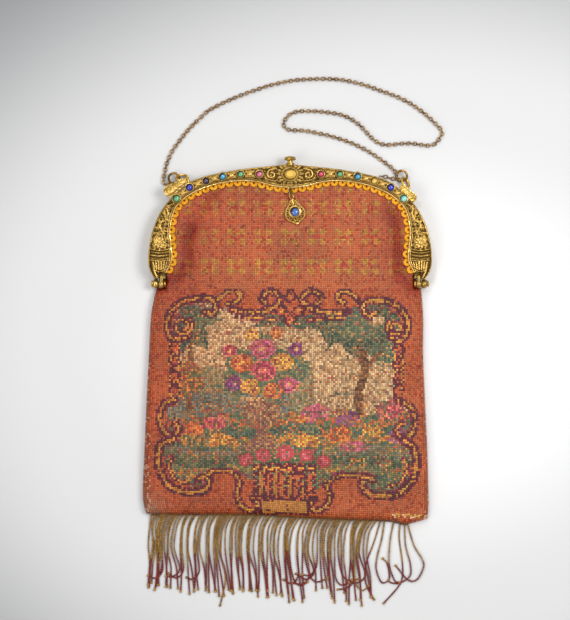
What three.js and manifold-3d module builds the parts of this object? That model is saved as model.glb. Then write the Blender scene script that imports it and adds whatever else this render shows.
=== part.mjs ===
// A beaded flapper purse, closed and lying on its back.
// The origin is the middle of the bag's back. +X runs to the right as the
// front is seen, +Y up to the clasp and +Z out of the front. Lengths are in millimetres.
import * as THREE from 'three';
import { mergeVertices } from 'three/addons/utils/BufferGeometryUtils.js';
import Module from 'manifold-3d';

const wasm = await Module();
wasm.setup();

// Overall sizes
const frameWidth = 190.8;
const frameHalf = frameWidth / 2;
const archRise = 80.1; // from the hinge pins up to the top of the frame
const hingeHeight = 41.2; // of the hinge pins above the origin
const hemDrop = 116; // from the origin down to the hem
const fringeLength = 60;

// Cloth and bag
const clothWall = 1.6;
const mouthClear = 5; // between the two cloths where they are sewn to the frame
const bagDepth = 10.7; // of the closed bag at its middle
const hemDepth = 8.2; // of the bag just above the hem
const seamLevel = 2.4; // of the side seams and the hem above the surface
const edgeRound = 6; // how far the cloth takes to swell from a seam
const clearance = 0.3;

// Frame
const rimThick = 0.9;
const frontRelief = 2.6; // of the front bar above its rim
const barEdgeDrop = 1.1; // of the rounded edges below the crown
const partingGap = 0.4;
const holePitch = 5.6;
const holeRadius = 0.75;
const sewnEdge = 1.0; // how far the cloth runs past the sewing holes
const backRimReach = 1.2; // how far the plain back rim runs inside the sewing holes
const barClear = 0.8; // from the cloth's edge to the bar
const rimLap = 1; // of each rim under its bar
const cuspDip = 0.5; // of the rim's cusps beyond the line of holes
const scallopTurn = 32; // degrees from a scallop's middle to its corners
const reliefHeight = 0.9; // of the cast ornaments
const bossSink = 1.2; // of an ornament's root in the bar
const scrollRadius = 2.6;
const scrollWire = 0.7;
const leafRise = 0.6; // of the two leaves above the crown
const leafThick = 4.1;

// Stones and their settings
const bezelWall = 0.6;
const bezelRise = 0.8; // above the bar's crown
const bezelSink = 2.4; // into the bar
const socketDepth = 1.9;
const sideStoneDome = 2.4;
const centreStoneWide = 8.7;
const centreStoneTall = 6.6;
const centreStoneDome = 3.4;
const settingSides = 10;

// Hinges, clasp button and lugs
const pinRadius = 1.1;
const eyeRadius = 3.1;
const eyeWidth = 3.6;
const hingeInset = 0.109; // share of the half width, from its end in to the inner face of the front eye
const headRadius = 2.4;
const headThick = 1.1;
const buttonRadius = 3.95;
const buttonThick = 2.8;
const neckRadius = 2.05;
const stemRadius = 1.85;
const stemDepth = 4.2; // of the stem inside the frame
const buttonTravel = 1.5;
const collarRadius = 2.75;
const collarRise = 1.3;
const collarSink = 3;
const boreSpare = 1; // below the end of the pressed stem
const lugLong = 3.6;
const lugTall = 2.4;
const lugWire = 0.7;
const lugTilt = 40;
const ringRadius = 3.65;
const ringWire = 0.8;
const ringTilt = -22;

// Chain and pendant
const chainWidth = 2.8;
const chainSteps = 60;
const tailSteps = 5;
const pendantTall = 17.6;
const pendantWide = 13.6;
const pendantThick = 1.7;
const pendantLean = 12; // degrees
const pendantStoneRadius = 2.95;
const pendantStoneDome = 2.6;
const seatDepth = 0.5; // of the pendant's stone in its plate
const gapRadius = 0.75; // of the pierced holes round it
const gapRing = 1.5; // from the setting to their middles
const settingRise = 1.2;
const linkRadius = 1.6;
const linkWire = 0.42;
const linkStep = 1.9;
const eyeFoot = 2.7; // of the lug that carries the pendant's eye, along the frame
const underChain = 0.1; // between the chain and the surface
const linkDrift = 0.35; // sideways, from one link to the next
const linkTurn = 45; // degrees that each link is turned from the cloth, by turns to either side

// Levels that follow from the sizes
const backRimTop = rimThick;
const mouthBack = backRimTop + clearance;
const mouthFront = mouthBack + mouthClear + 2 * clothWall;
const frontRimBack = mouthFront + clearance;
const frontRimTop = frontRimBack + rimThick;
const crown = frontRimTop + frontRelief;
const parting = (mouthBack + mouthFront) / 2 + 1.4;
const frontBarBack = parting + partingGap / 2;
const backBarTop = parting - partingGap / 2;
const bezelTop = crown + bezelRise;
const socketFloor = bezelTop - socketDepth;
const archTop = hingeHeight + archRise;
const eyeInside = frameHalf * (1 - hingeInset);
const bagTall = hingeHeight + hemDrop;

// Tables. out is a share of the frame's half width and up a share of the arch's rise.
const outerEdge = [
  { out: 0, up: 1 }, { out: 0.198, up: 0.981 }, { out: 0.346, up: 0.961 },
  { out: 0.524, up: 0.923 }, { out: 0.618, up: 0.895 }, { out: 0.708, up: 0.851 },
  { out: 0.797, up: 0.767 }, { out: 0.872, up: 0.673 }, { out: 0.922, up: 0.584 },
  { out: 0.961, up: 0.477 }, { out: 0.984, up: 0.376 }, { out: 0.997, up: 0.275 },
  { out: 1, up: 0.194 }, { out: 0.992, up: 0.126 }, { out: 0.972, up: 0.075 },
  { out: 0.955, up: 0.047 },
];
const sewingLine = [
  { out: 0, up: 0.797 }, { out: 0.116, up: 0.81 }, { out: 0.234, up: 0.844 },
  { out: 0.352, up: 0.853 }, { out: 0.476, up: 0.835 }, { out: 0.59, up: 0.799 },
  { out: 0.702, up: 0.737 }, { out: 0.785, up: 0.653 }, { out: 0.816, up: 0.578 },
  { out: 0.828, up: 0.514 }, { out: 0.836, up: 0.443 }, { out: 0.833, up: 0.371 },
  { out: 0.822, up: 0.226 }, { out: 0.837, up: 0.151 }, { out: 0.862, up: 0.096 },
  { out: 0.862, up: 0.041 }, { out: 0.858, up: -0.068 },
];
const holesEnd = 0.085; // share of the rise where the row of sewing holes stops
const barEnd = 0.047; // share of the rise where the bars narrow to their hinge eyes

// The bag's sides, up as a share from the hem to the hinge, left and right as shares of the half width
const bagSides = [
  { up: 0, left: 1.012, right: 0.975 }, { up: 0.06, left: 1.038, right: 0.98 },
  { up: 0.12, left: 1.042, right: 0.978 }, { up: 0.3, left: 1.029, right: 0.97 },
  { up: 0.5, left: 1.015, right: 0.954 }, { up: 0.7, left: 0.998, right: 0.941 },
  { up: 0.86, left: 0.984, right: 0.942 }, { up: 0.948, left: 0.952, right: 0.93 },
];
// The hem, across as a share of the half width and drop as a share of the hem's drop
const hemLine = [
  { across: -1.012, drop: 0.984 }, { across: -0.27, drop: 0.986 }, { across: 0, drop: 0.997 },
  { across: 0.36, drop: 1.012 }, { across: 0.69, drop: 1.021 }, { across: 0.83, drop: 1.041 },
  { across: 0.975, drop: 1.012 },
];
// Folds in the front cloth: ends as shares of the half width and of the hem's drop, depth as a share
// of the bag's depth and reach as a share of the half width
const folds = [
  { x1: -0.93, y1: 0.33, x2: -0.72, y2: 0.49, depth: 0.17, reach: 0.05 },
  { x1: -0.72, y1: 0.49, x2: -0.69, y2: 0.67, depth: 0.15, reach: 0.045 },
  { x1: -0.72, y1: 0.63, x2: -0.51, y2: 0.91, depth: 0.12, reach: 0.04 },
  { x1: 0.73, y1: 0.76, x2: 0.77, y2: 0.44, depth: 0.14, reach: 0.045 },
  { x1: 0.77, y1: 0.44, x2: 0.88, y2: 0.31, depth: 0.15, reach: 0.045 },
  { x1: 0.2, y1: 0.89, x2: 0.2, y2: 0.7, depth: 0.08, reach: 0.04 },
  { x1: -0.2, y1: 0.86, x2: -0.22, y2: 0.6, depth: 0.07, reach: 0.05 },
];

// Stones on the right half, mirrored to the left: places as shares, radius in millimetres
const sideStones = [
  { out: 0.217, up: 0.921, radius: 2 }, { out: 0.35, up: 0.921, radius: 2 },
  { out: 0.476, up: 0.9, radius: 2.1 }, { out: 0.592, up: 0.864, radius: 2.1 },
  { out: 0.709, up: 0.809, radius: 2.2 }, { out: 0.801, up: 0.717, radius: 2.3 },
];
const stoneColours = {
  left: ['#c9587f', '#3f7f57', '#1d6b86', '#38203f', '#2233a0', '#4f9a58'],
  right: ['#c42a4d', '#7fae84', '#1b6f92', '#b97a1e', '#2a2480', '#4f9c98'],
};
// Cast ornaments on the right half: places as shares, sizes in millimetres, turn in degrees
const ornaments = [
  { out: 0.283, up: 0.925, wide: 1.5, tall: 1.5, turn: 0 },
  { out: 0.413, up: 0.915, wide: 1.5, tall: 1.5, turn: 0 },
  { out: 0.535, up: 0.885, wide: 1.5, tall: 1.5, turn: 0 },
  { out: 0.652, up: 0.84, wide: 1.5, tall: 1.5, turn: 0 },
  { out: 0.757, up: 0.767, wide: 1.5, tall: 1.5, turn: 0 },
  { out: 0.088, up: 0.975, wide: 2.6, tall: 1.3, turn: -30 },
  { out: 0.088, up: 0.868, wide: 2.6, tall: 1.3, turn: 30 },
  { out: 0.845, up: 0.62, wide: 1.7, tall: 3.4, turn: 30 },
  { out: 0.885, up: 0.565, wide: 1.7, tall: 3.2, turn: -5 },
  { out: 0.875, up: 0.49, wide: 1.6, tall: 3, turn: 35 },
  { out: 0.93, up: 0.455, wide: 1.6, tall: 3, turn: -10 },
  { out: 0.918, up: 0.345, wide: 4.2, tall: 3.8, turn: 0 },
  { out: 0.915, up: 0.275, wide: 5.6, tall: 1.1, turn: 0 },
  { out: 0.915, up: 0.235, wide: 5, tall: 1.1, turn: 0 },
];
const fluteCount = 5;
const fluteRow = { out: 0.915, up: 0.165, spread: 0.115, wide: 1.1, tall: 1.9 };

// Fringe locks: head as a share of the half width, mid, tip and reach as shares of the fringe's length
const locks = [
  { head: -0.913, mid: -0.09, tip: -0.14, reach: 0.81 },
  { head: -0.878, mid: -0.09, tip: -0.13, reach: 0.83 },
  { head: -0.843, mid: -0.09, tip: -0.07, reach: 0.88 },
  { head: -0.807, mid: -0.09, tip: -0.06, reach: 0.88 },
  { head: -0.765, mid: -0.02, tip: -0.03, reach: 0.89 },
  { head: -0.722, mid: -0.07, tip: -0.05, reach: 0.92 },
  { head: -0.68, mid: -0.07, tip: -0.05, reach: 0.91 },
  { head: -0.637, mid: -0.05, tip: -0.03, reach: 0.91 },
  { head: -0.595, mid: -0.06, tip: -0.05, reach: 0.91 },
  { head: -0.552, mid: -0.05, tip: -0.01, reach: 0.88 },
  { head: -0.51, mid: -0.06, tip: -0.03, reach: 0.88 },
  { head: -0.467, mid: -0.07, tip: -0.05, reach: 0.99 },
  { head: -0.425, mid: -0.09, tip: -0.02, reach: 0.9 },
  { head: -0.375, mid: -0.09, tip: -0.06, reach: 0.9 },
  { head: -0.319, mid: -0.07, tip: -0.07, reach: 0.87 },
  { head: -0.269, mid: -0.09, tip: -0.07, reach: 0.91 },
  { head: -0.212, mid: -0.11, tip: -0.03, reach: 0.91 },
  { head: -0.156, mid: -0.06, tip: -0.06, reach: 0.92 },
  { head: -0.099, mid: -0.09, tip: -0.07, reach: 0.91 },
  { head: -0.042, mid: -0.09, tip: -0.06, reach: 0.93 },
  { head: 0.014, mid: -0.08, tip: -0.03, reach: 0.96 },
  { head: 0.071, mid: -0.09, tip: -0.05, reach: 0.97 },
  { head: 0.127, mid: -0.08, tip: -0.06, reach: 0.97 },
  { head: 0.184, mid: -0.1, tip: -0.09, reach: 0.93 },
  { head: 0.241, mid: -0.07, tip: -0.07, reach: 0.82 },
  { head: 0.29, mid: -0.06, tip: -0.07, reach: 0.78 },
  { head: 0.34, mid: -0.08, tip: -0.05, reach: 0.95 },
  { head: 0.396, mid: 0.05, tip: -0.01, reach: 0.8 },
  { head: 0.446, mid: -0.02, tip: -0.02, reach: 0.93 },
  { head: 0.496, mid: -0.07, tip: -0.03, reach: 0.98 },
  { head: 0.545, mid: -0.09, tip: -0.08, reach: 0.97 },
  { head: 0.595, mid: -0.11, tip: -0.09, reach: 0.82 },
  { head: 0.651, mid: -0.09, tip: -0.1, reach: 0.97 },
  { head: 0.708, mid: -0.05, tip: -0.06, reach: 0.74 },
  { head: 0.757, mid: -0.01, tip: -0.01, reach: 0.74 },
  { head: 0.807, mid: 0.02, tip: 0.01, reach: 0.73 },
  { head: 0.842, mid: 0.08, tip: 0.12, reach: 0.69 },
];
const lockWidth = 3.6;
const lockThick = 2.2;
const hemSlack = 0.2; // the hem's strands hang this much lower than the seam
const fringeHeadTall = 3.2;
const fringeHeadThick = 2.8;
const headSteps = 12;

// The chain's route over the surface, as it lies, from the left ring to the right one, as shares out and up
const chainRoute = [
  [-0.845, 0.813], [-0.887, 0.829], [-0.9, 0.878], [-0.889, 0.941], [-0.872, 1.027], [-0.832, 1.131],
  [-0.781, 1.216], [-0.723, 1.302], [-0.658, 1.38], [-0.587, 1.458], [-0.506, 1.513], [-0.42, 1.561],
  [-0.333, 1.603], [-0.24, 1.642], [-0.153, 1.677], [-0.06, 1.703], [0.035, 1.723], [0.175, 1.734],
  [0.27, 1.734], [0.365, 1.727], [0.458, 1.705], [0.552, 1.674], [0.639, 1.637], [0.733, 1.597],
  [0.819, 1.551], [0.896, 1.494], [0.973, 1.423], [1.042, 1.346], [1.08, 1.288], [1.065, 1.241],
  [1.04, 1.196], [1.002, 1.174], [0.954, 1.174], [0.887, 1.186], [0.802, 1.189], [0.716, 1.177],
  [0.669, 1.179], [0.622, 1.199], [0.579, 1.238], [0.527, 1.305], [0.493, 1.346], [0.45, 1.385],
  [0.398, 1.416], [0.347, 1.436], [0.253, 1.453], [0.158, 1.462], [0.06, 1.459], [0.009, 1.441],
  [-0.025, 1.406], [-0.045, 1.358], [-0.029, 1.318], [0.015, 1.301], [0.107, 1.296], [0.201, 1.275],
  [0.296, 1.248], [0.386, 1.215], [0.476, 1.172], [0.562, 1.119], [0.639, 1.057], [0.694, 1.01],
  [0.736, 0.97],
];
const tailRoute = [[0.746, 0.894], [0.715, 0.895], [0.686, 0.905], [0.652, 0.911]];

// Lugs that hold the chain's rings: the lug's middle and the way towards its ring, in degrees
const lugs = [
  { side: 'left', out: -0.768, up: 0.899, towards: 186, foot: [-0.712, 0.83] },
  { side: 'right', out: 0.819, up: 0.855, towards: 119, foot: [0.805, 0.74] },
];
const leaves = [
  { side: 'left', from: [-0.728, 0.862], to: [-0.878, 0.745], wide: 5 },
  { side: 'right', from: [0.772, 0.818], to: [0.876, 0.69], wide: 4.6 },
];

const colours = {
  cloth: '#a8563a', frame: '#9c7f3c', brass: '#b08a3a', chain: '#7d6142',
  citrine: '#c9871a', blue: '#2f4fb0', fringe: '#7a5a2e',
};

// Solid helpers

// Makes a closed solid of a geometry that has seams in its vertex list.
function solidOf(geometry) {
  const bare = geometry.index ? geometry.toNonIndexed() : geometry.clone();
  bare.deleteAttribute('normal');
  bare.deleteAttribute('uv');
  const merged = mergeVertices(bare, 1e-4);
  const corners = [];
  const faces = merged.index.array;
  for (let i = 0; i < faces.length; i += 3) {
    const [a, b, c] = [faces[i], faces[i + 1], faces[i + 2]];
    if (a !== b && b !== c && a !== c) corners.push(a, b, c);
  }
  return new wasm.Manifold(new wasm.Mesh({
    numProp: 3,
    vertProperties: Float32Array.from(merged.attributes.position.array),
    triVerts: Uint32Array.from(corners),
  }));
}

// Gives a solid back as a geometry, with slivers below the merging size taken out.
function geometryOf(solid) {
  const mesh = solid.simplify(0.004).getMesh();
  const geometry = new THREE.BufferGeometry();
  const points = new Float32Array(mesh.numVert * 3);
  for (let i = 0; i < mesh.numVert; i += 1) {
    for (let k = 0; k < 3; k += 1) points[i * 3 + k] = mesh.vertProperties[i * mesh.numProp + k];
  }
  geometry.setAttribute('position', new THREE.BufferAttribute(points, 3));
  geometry.setIndex(Array.from(mesh.triVerts));
  return geometry;
}

// Joins rows of points, all of one length, into a closed solid; each row is a ring across it.
function loft(rings) {
  const points = rings.flat();
  const faces = [];
  const size = rings[0].length;
  for (let r = 0; r + 1 < rings.length; r += 1) {
    for (let k = 0; k < size; k += 1) {
      const next = (k + 1) % size;
      const [a, b, c, d] = [r * size + k, r * size + next, (r + 1) * size + next, (r + 1) * size + k];
      faces.push(a, b, c, a, c, d);
    }
  }
  const last = (rings.length - 1) * size;
  for (let k = 1; k + 1 < size; k += 1) {
    faces.push(0, k + 1, k);
    faces.push(last, last + k, last + k + 1);
  }
  const geometry = new THREE.BufferGeometry().setFromPoints(points);
  geometry.setIndex(faces);
  return geometry;
}

// Turns a solid's faces outward when its rings ran the other way round.
function outward(geometry) {
  const faces = geometry.index.array;
  const p = geometry.attributes.position;
  const [a, b, c] = [new THREE.Vector3(), new THREE.Vector3(), new THREE.Vector3()];
  let volume = 0;
  for (let i = 0; i < faces.length; i += 3) {
    a.fromBufferAttribute(p, faces[i]);
    b.fromBufferAttribute(p, faces[i + 1]);
    c.fromBufferAttribute(p, faces[i + 2]);
    volume += a.dot(b.cross(c));
  }
  if (volume < 0) {
    for (let i = 0; i < faces.length; i += 3) {
      const keep = faces[i + 1];
      faces[i + 1] = faces[i + 2];
      faces[i + 2] = keep;
    }
  }
  return geometry;
}

function cylinderAlongZ(radius, low, high, sides = settingSides) {
  const geometry = new THREE.CylinderGeometry(radius, radius, high - low, sides);
  geometry.rotateX(Math.PI / 2);
  geometry.translate(0, 0, (low + high) / 2);
  return geometry;
}

function cylinderAlongX(radius, low, high, sides = settingSides) {
  const geometry = new THREE.CylinderGeometry(radius, radius, high - low, sides);
  geometry.rotateZ(Math.PI / 2);
  geometry.translate((low + high) / 2, 0, 0);
  return geometry;
}

function box(x, y, z) {
  const geometry = new THREE.BoxGeometry(x[1] - x[0], y[1] - y[0], z[1] - z[0]);
  geometry.translate((x[0] + x[1]) / 2, (y[0] + y[1]) / 2, (z[0] + z[1]) / 2);
  return geometry;
}

// A closed torus that can be stretched along its own X.
function hoop(radius, wire, sides, steps, stretch = 1) {
  const geometry = new THREE.TorusGeometry(radius, wire, sides, steps);
  const p = geometry.attributes.position;
  for (let i = 0; i < p.count; i += 1) {
    const flat = Math.hypot(p.getX(i), p.getY(i));
    const push = (radius * (stretch - 1) * p.getX(i)) / flat;
    p.setX(i, p.getX(i) + push);
  }
  return geometry;
}

const degrees = (angle) => (angle * Math.PI) / 180;
const smooth = (share) => {
  const s = Math.min(Math.max(share, 0), 1);
  return s * s * (3 - 2 * s);
};

// Curves of the frame

const place = (out, up) => new THREE.Vector2(out * frameHalf, hingeHeight + up * archRise);

// A whole line over the arch, from the left end to the right one, of a table for the right half.
function archLine(table, steps) {
  const right = table.map((row) => place(row.out, row.up));
  const left = right.slice(1).reverse().map((p) => new THREE.Vector2(-p.x, p.y));
  const curve = new THREE.SplineCurve([...left, ...right]);
  return curve.getSpacedPoints(steps);
}

// Cuts a line off below a height.
const above = (line, height) => line.filter((p) => p.y >= height);

// Points at even steps along a line of close points.
function evenly(line, count) {
  const lengths = [0];
  for (let i = 1; i < line.length; i += 1) lengths.push(lengths[i - 1] + line[i].distanceTo(line[i - 1]));
  const total = lengths[lengths.length - 1];
  const points = [];
  let k = 1;
  for (let i = 0; i <= count; i += 1) {
    const want = (total * i) / count;
    while (k < lengths.length - 1 && lengths[k] < want) k += 1;
    const share = (want - lengths[k - 1]) / (lengths[k] - lengths[k - 1]);
    points.push(line[k - 1].clone().lerp(line[k], share));
  }
  return points;
}

// Moves a line away from the bag's middle.
function spread(line, distance) {
  return line.map((p, i) => {
    const before = line[Math.max(i - 1, 0)];
    const after = line[Math.min(i + 1, line.length - 1)];
    const along = after.clone().sub(before).normalize();
    return new THREE.Vector2(p.x - along.y * distance, p.y + along.x * distance);
  });
}

const fineSteps = 600;
const sewing = archLine(sewingLine, fineSteps);
const outer = archLine(outerEdge, fineSteps);
const mouthEdge = spread(sewing, sewnEdge);
const barInner = spread(sewing, sewnEdge + barClear);

// Depths of the closed bag

function distanceTo(line, x, y) {
  let nearest = Infinity;
  for (const p of line) nearest = Math.min(nearest, Math.hypot(p.x - x, p.y - y));
  return nearest;
}

function foldDepth(x, y) {
  let depth = 0;
  for (const fold of folds) {
    const start = new THREE.Vector2(fold.x1 * frameHalf, fold.y1 * hemDrop);
    const end = new THREE.Vector2(fold.x2 * frameHalf, fold.y2 * hemDrop);
    const along = end.clone().sub(start);
    const reached = ((x - start.x) * along.x + (y - start.y) * along.y) / along.lengthSq();
    const share = Math.min(Math.max(reached, 0), 1);
    const off = Math.hypot(x - start.x - along.x * share, y - start.y - along.y * share);
    const reach = fold.reach * frameHalf;
    depth = Math.max(depth, fold.depth * bagDepth * Math.exp(-((off / reach) ** 2)));
  }
  return depth;
}
const leastSwell = 0.2; // of the cloth's full depth, next to a seam
const rimReach = 5; // how far from the mouth the cloth stays level under the rim
const swellReach = 22; // how far from the mouth the bag takes to swell

function frontLevel(x, y) {
  const fromMouth = distanceTo(mouthEdge, x, y);
  const swell = smooth((fromMouth - rimReach) / swellReach);
  const low = smooth((y + hemDrop) / (0.35 * bagTall));
  const body = hemDepth + (bagDepth - hemDepth) * low;
  return mouthFront + (body - mouthFront) * swell - foldDepth(x, y) * swell;
}

function backLevel(x, y) {
  return mouthBack * (1 - smooth((distanceTo(mouthEdge, x, y) - 4) / 14));
}

// The bag's outline, split where the cloth leaves the frame
const corner = { left: mouthEdge[0], right: mouthEdge[mouthEdge.length - 1] };
const shoulderUp = 0.653; // share of the rise where the arms end and the top begins
const shoulderHeight = hingeHeight + shoulderUp * archRise;

function sideLine(side) {
  const sign = side === 'left' ? -1 : 1;
  const points = bagSides.map((row) => (
    new THREE.Vector2(sign * row[side] * frameHalf, row.up * bagTall - hemDrop)
  ));
  points[0].y = -hemLine[side === 'left' ? 0 : hemLine.length - 1].drop * hemDrop;
  points.push(corner[side].clone());
  return new THREE.SplineCurve(points).getSpacedPoints(200);
}
const half = Math.floor(mouthEdge.length / 2);
const leftMouth = mouthEdge.slice(0, half + 1);
const rightMouth = mouthEdge.slice(half).reverse();
const armOf = (line) => line.filter((p) => p.y <= shoulderHeight);
const topOf = mouthEdge.filter((p) => p.y >= shoulderHeight);
const hemPoints = hemLine.map((row) => new THREE.Vector2(row.across * frameHalf, -row.drop * hemDrop));
const hem = new THREE.SplineCurve(hemPoints).getSpacedPoints(200);

// Shares of the side seam, the arm and the width at which the cloth is modelled
const seamRows = [0, 0.012, 0.036, 0.14, 0.3, 0.46, 0.6, 0.74, 0.87, 0.95, 1];
const armRows = [0.13, 0.26, 0.4, 0.56, 0.78, 1];
const halfColumns = [0, 0.012, 0.036, 0.11, 0.19, 0.28, 0.39, 0.5];
const columns = [...halfColumns, ...halfColumns.slice(0, -1).reverse().map((s) => 1 - s)];
const seamShare = 0.62; // share of the grid's rows that the side seams take

function alongLine(line, share) {
  const lengths = [0];
  for (let i = 1; i < line.length; i += 1) lengths.push(lengths[i - 1] + line[i].distanceTo(line[i - 1]));
  const want = lengths[lengths.length - 1] * Math.min(Math.max(share, 0), 1);
  let k = 1;
  while (k < line.length - 1 && lengths[k] < want) k += 1;
  const part = (want - lengths[k - 1]) / Math.max(lengths[k] - lengths[k - 1], 1e-9);
  return line[k - 1].clone().lerp(line[k], part);
}

const seams = { left: sideLine('left'), right: sideLine('right') };
const arms = { left: armOf(leftMouth), right: armOf(rightMouth) };
const seamEdge = [...seams.left, ...seams.right, ...hem];

function sideAt(side, v) {
  if (v <= seamShare) return alongLine(seams[side], v / seamShare);
  return alongLine(arms[side], (v - seamShare) / (1 - seamShare));
}

// A point of the outline's patch: s runs left to right and v from the hem to the frame's top.
function patch(s, v) {
  const left = sideAt('left', v);
  const right = sideAt('right', v);
  const low = alongLine(hem, s);
  const high = alongLine(topOf, s);
  const mix = (axis) => {
    const across = (1 - s) * left[axis] + s * right[axis];
    const upward = (1 - v) * low[axis] + v * high[axis];
    const corners = (1 - s) * (1 - v) * hem[0][axis] + s * (1 - v) * hem[hem.length - 1][axis]
      + (1 - s) * v * topOf[0][axis] + s * v * topOf[topOf.length - 1][axis];
    return across + upward - corners;
  };
  return new THREE.Vector2(mix('x'), mix('y'));
}

const rows = [
  ...seamRows.map((share) => share * seamShare),
  ...armRows.map((share) => seamShare + share * (1 - seamShare)),
];
const hingeRow = seamRows.length - 1;

// One skin of the bag, its front and back as grids that share their sewn edges.
function skin(inset, round) {
  const grids = { front: [], back: [] };
  const sideInset = inset / frameWidth;
  const hemInset = inset / bagTall;
  rows.forEach((v, r) => {
    const sewn = r <= hingeRow;
    const row = sewn ? hemInset * (1 - v / seamShare) + v : v;
    const front = [];
    const back = [];
    columns.forEach((column, c) => {
      const s = sewn ? sideInset + (1 - 2 * sideInset) * column : column;
      const p = patch(s, row);
      const edge = c === 0 || c === columns.length - 1;
      const closed = r === 0 || (sewn && edge);
      const off = Math.max(distanceTo(seamEdge, p.x, p.y) - inset, 0);
      const swell = Math.max(Math.sqrt(1 - (1 - Math.min(off / round, 1)) ** 2), leastSwell);
      const open = sewn ? swell : 1;
      const full = closed ? 0 : open;
      const wall = inset > 0 ? clothWall : 0;
      const top = frontLevel(p.x, p.y) - wall;
      const bottom = backLevel(p.x, p.y) + wall;
      front.push(new THREE.Vector3(p.x, p.y, seamLevel + (top - seamLevel) * full));
      back.push(new THREE.Vector3(p.x, p.y, seamLevel + (bottom - seamLevel) * full));
    });
    grids.front.push(front);
    grids.back.push(back);
  });
  return grids;
}

// The points of a grid along the frame, from the left hinge over the top to the right one.
function mouthOf(grid) {
  const upLeft = grid.slice(hingeRow).map((row) => row[0]);
  const across = grid[grid.length - 1].slice(1, -1);
  const downRight = grid.slice(hingeRow).map((row) => row[row.length - 1]).reverse();
  return [...upLeft, ...across, ...downRight];
}

function bagBody() {
  const corners = [];
  const quad = (a, b, c, d) => corners.push(a, b, c, a, c, d);
  const cover = (grid, flip) => {
    for (let r = 0; r + 1 < grid.length; r += 1) {
      for (let c = 0; c + 1 < grid[r].length; c += 1) {
        const ring = [grid[r][c], grid[r][c + 1], grid[r + 1][c + 1], grid[r + 1][c]];
        if (flip) ring.reverse();
        quad(...ring);
      }
    }
  };
  const outside = skin(0, edgeRound);
  const inside = skin(clothWall + 0.8, edgeRound - clothWall);
  cover(outside.front, false);
  cover(outside.back, true);
  cover(inside.front, true);
  cover(inside.back, false);
  for (const face of ['front', 'back']) {
    const rimOut = mouthOf(outside[face]);
    const rimIn = mouthOf(inside[face]);
    for (let i = 0; i + 1 < rimOut.length; i += 1) {
      const ring = [rimOut[i], rimIn[i], rimIn[i + 1], rimOut[i + 1]];
      if (face === 'front') ring.reverse();
      quad(...ring);
    }
  }
  return new THREE.BufferGeometry().setFromPoints(corners);
}

// A bar of the frame between its inner and outer edges, with a section given from edge to edge.
function bar(section, stations) {
  const low = hingeHeight + barEnd * archRise;
  const inner = evenly(above(barInner, low), stations);
  const outside = evenly(above(outer, low), stations);
  const rings = inner.map((p, i) => section.map(([share, level]) => {
    const q = p.clone().lerp(outside[i], share);
    return new THREE.Vector3(q.x, q.y, level);
  }));
  return outward(loft(rings));
}

// A thin plate of an outline with holes, between two levels.
function plate(outline, holes, low, high) {
  const shape = new THREE.Shape(outline);
  shape.holes = holes.map((hole) => new THREE.Path(hole));
  const geometry = new THREE.ExtrudeGeometry(shape, { depth: high - low, bevelEnabled: false });
  geometry.translate(0, 0, low);
  return geometry;
}

const ringOf = (centre, radius, sides, turn = 0) => Array.from({ length: sides }, (_, i) => {
  const angle = turn + (2 * Math.PI * i) / sides;
  return new THREE.Vector2(centre.x + radius * Math.cos(angle), centre.y + radius * Math.sin(angle));
});

// The scalloped rim, one scallop round each sewing hole.
function scallopedRim() {
  const line = above(sewing, hingeHeight + holesEnd * archRise);
  let length = 0;
  for (let i = 1; i < line.length; i += 1) length += line[i].distanceTo(line[i - 1]);
  const count = 2 * Math.round(length / holePitch / 2);
  const cusps = evenly(line, count);
  const centres = evenly(line, 2 * count).filter((_, i) => i % 2 === 1);
  const outline = spread(evenly(line, 16), sewnEdge + barClear + rimLap);
  for (let i = count - 1; i >= 0; i -= 1) {
    const across = cusps[i + 1].clone().sub(cusps[i]);
    const inwards = new THREE.Vector2(across.y, -across.x).normalize();
    const reach = across.length() / 2;
    outline.push(cusps[i + 1].clone().addScaledVector(inwards, i === count - 1 ? cuspDip / 2 : cuspDip));
    for (const angle of [-scallopTurn, scallopTurn]) {
      outline.push(centres[i].clone()
        .addScaledVector(inwards, reach * Math.cos(degrees(angle)))
        .addScaledVector(across, -Math.sin(degrees(angle)) / 2));
    }
  }
  outline.push(cusps[0].clone());
  const holes = centres.map((centre) => ringOf(centre, holeRadius, 6));
  return plate(outline, holes, frontRimBack, frontRimTop);
}

function plainRim() {
  const line = evenly(above(sewing, hingeHeight + holesEnd * archRise), 22);
  const outline = [...spread(line, sewnEdge + barClear + rimLap), ...spread(line, -backRimReach).reverse()];
  return plate(outline, [], 0, backRimTop);
}

// A low cast boss on the bar, an oval dome.
function boss(row, sign) {
  const profile = [[0, -bossSink], [1, -bossSink], [0, reliefHeight]];
  if (row.wide * row.tall > 3) profile.splice(2, 0, [0.85, reliefHeight * 0.6]);
  const geometry = new THREE.LatheGeometry(profile.map(([r, z]) => new THREE.Vector2(r, z)), 6);
  geometry.rotateX(Math.PI / 2);
  geometry.scale(row.wide, row.tall, 1);
  geometry.rotateZ(degrees(row.turn) * sign);
  const at = place(row.out * sign, row.up);
  geometry.translate(at.x, at.y, crown - 0.1);
  return geometry;
}

function bezel(at, wide, tall) {
  const geometry = cylinderAlongZ(1, crown - bezelSink, bezelTop, settingSides);
  geometry.scale(wide + clearance + bezelWall, tall + clearance + bezelWall, 1);
  geometry.translate(at.x, at.y, 0);
  return geometry;
}

function socket(at, wide, tall) {
  const geometry = cylinderAlongZ(1, socketFloor, bezelTop + 1, settingSides);
  geometry.scale(wide + clearance, tall + clearance, 1);
  geometry.translate(at.x, at.y, 0);
  return geometry;
}

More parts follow.
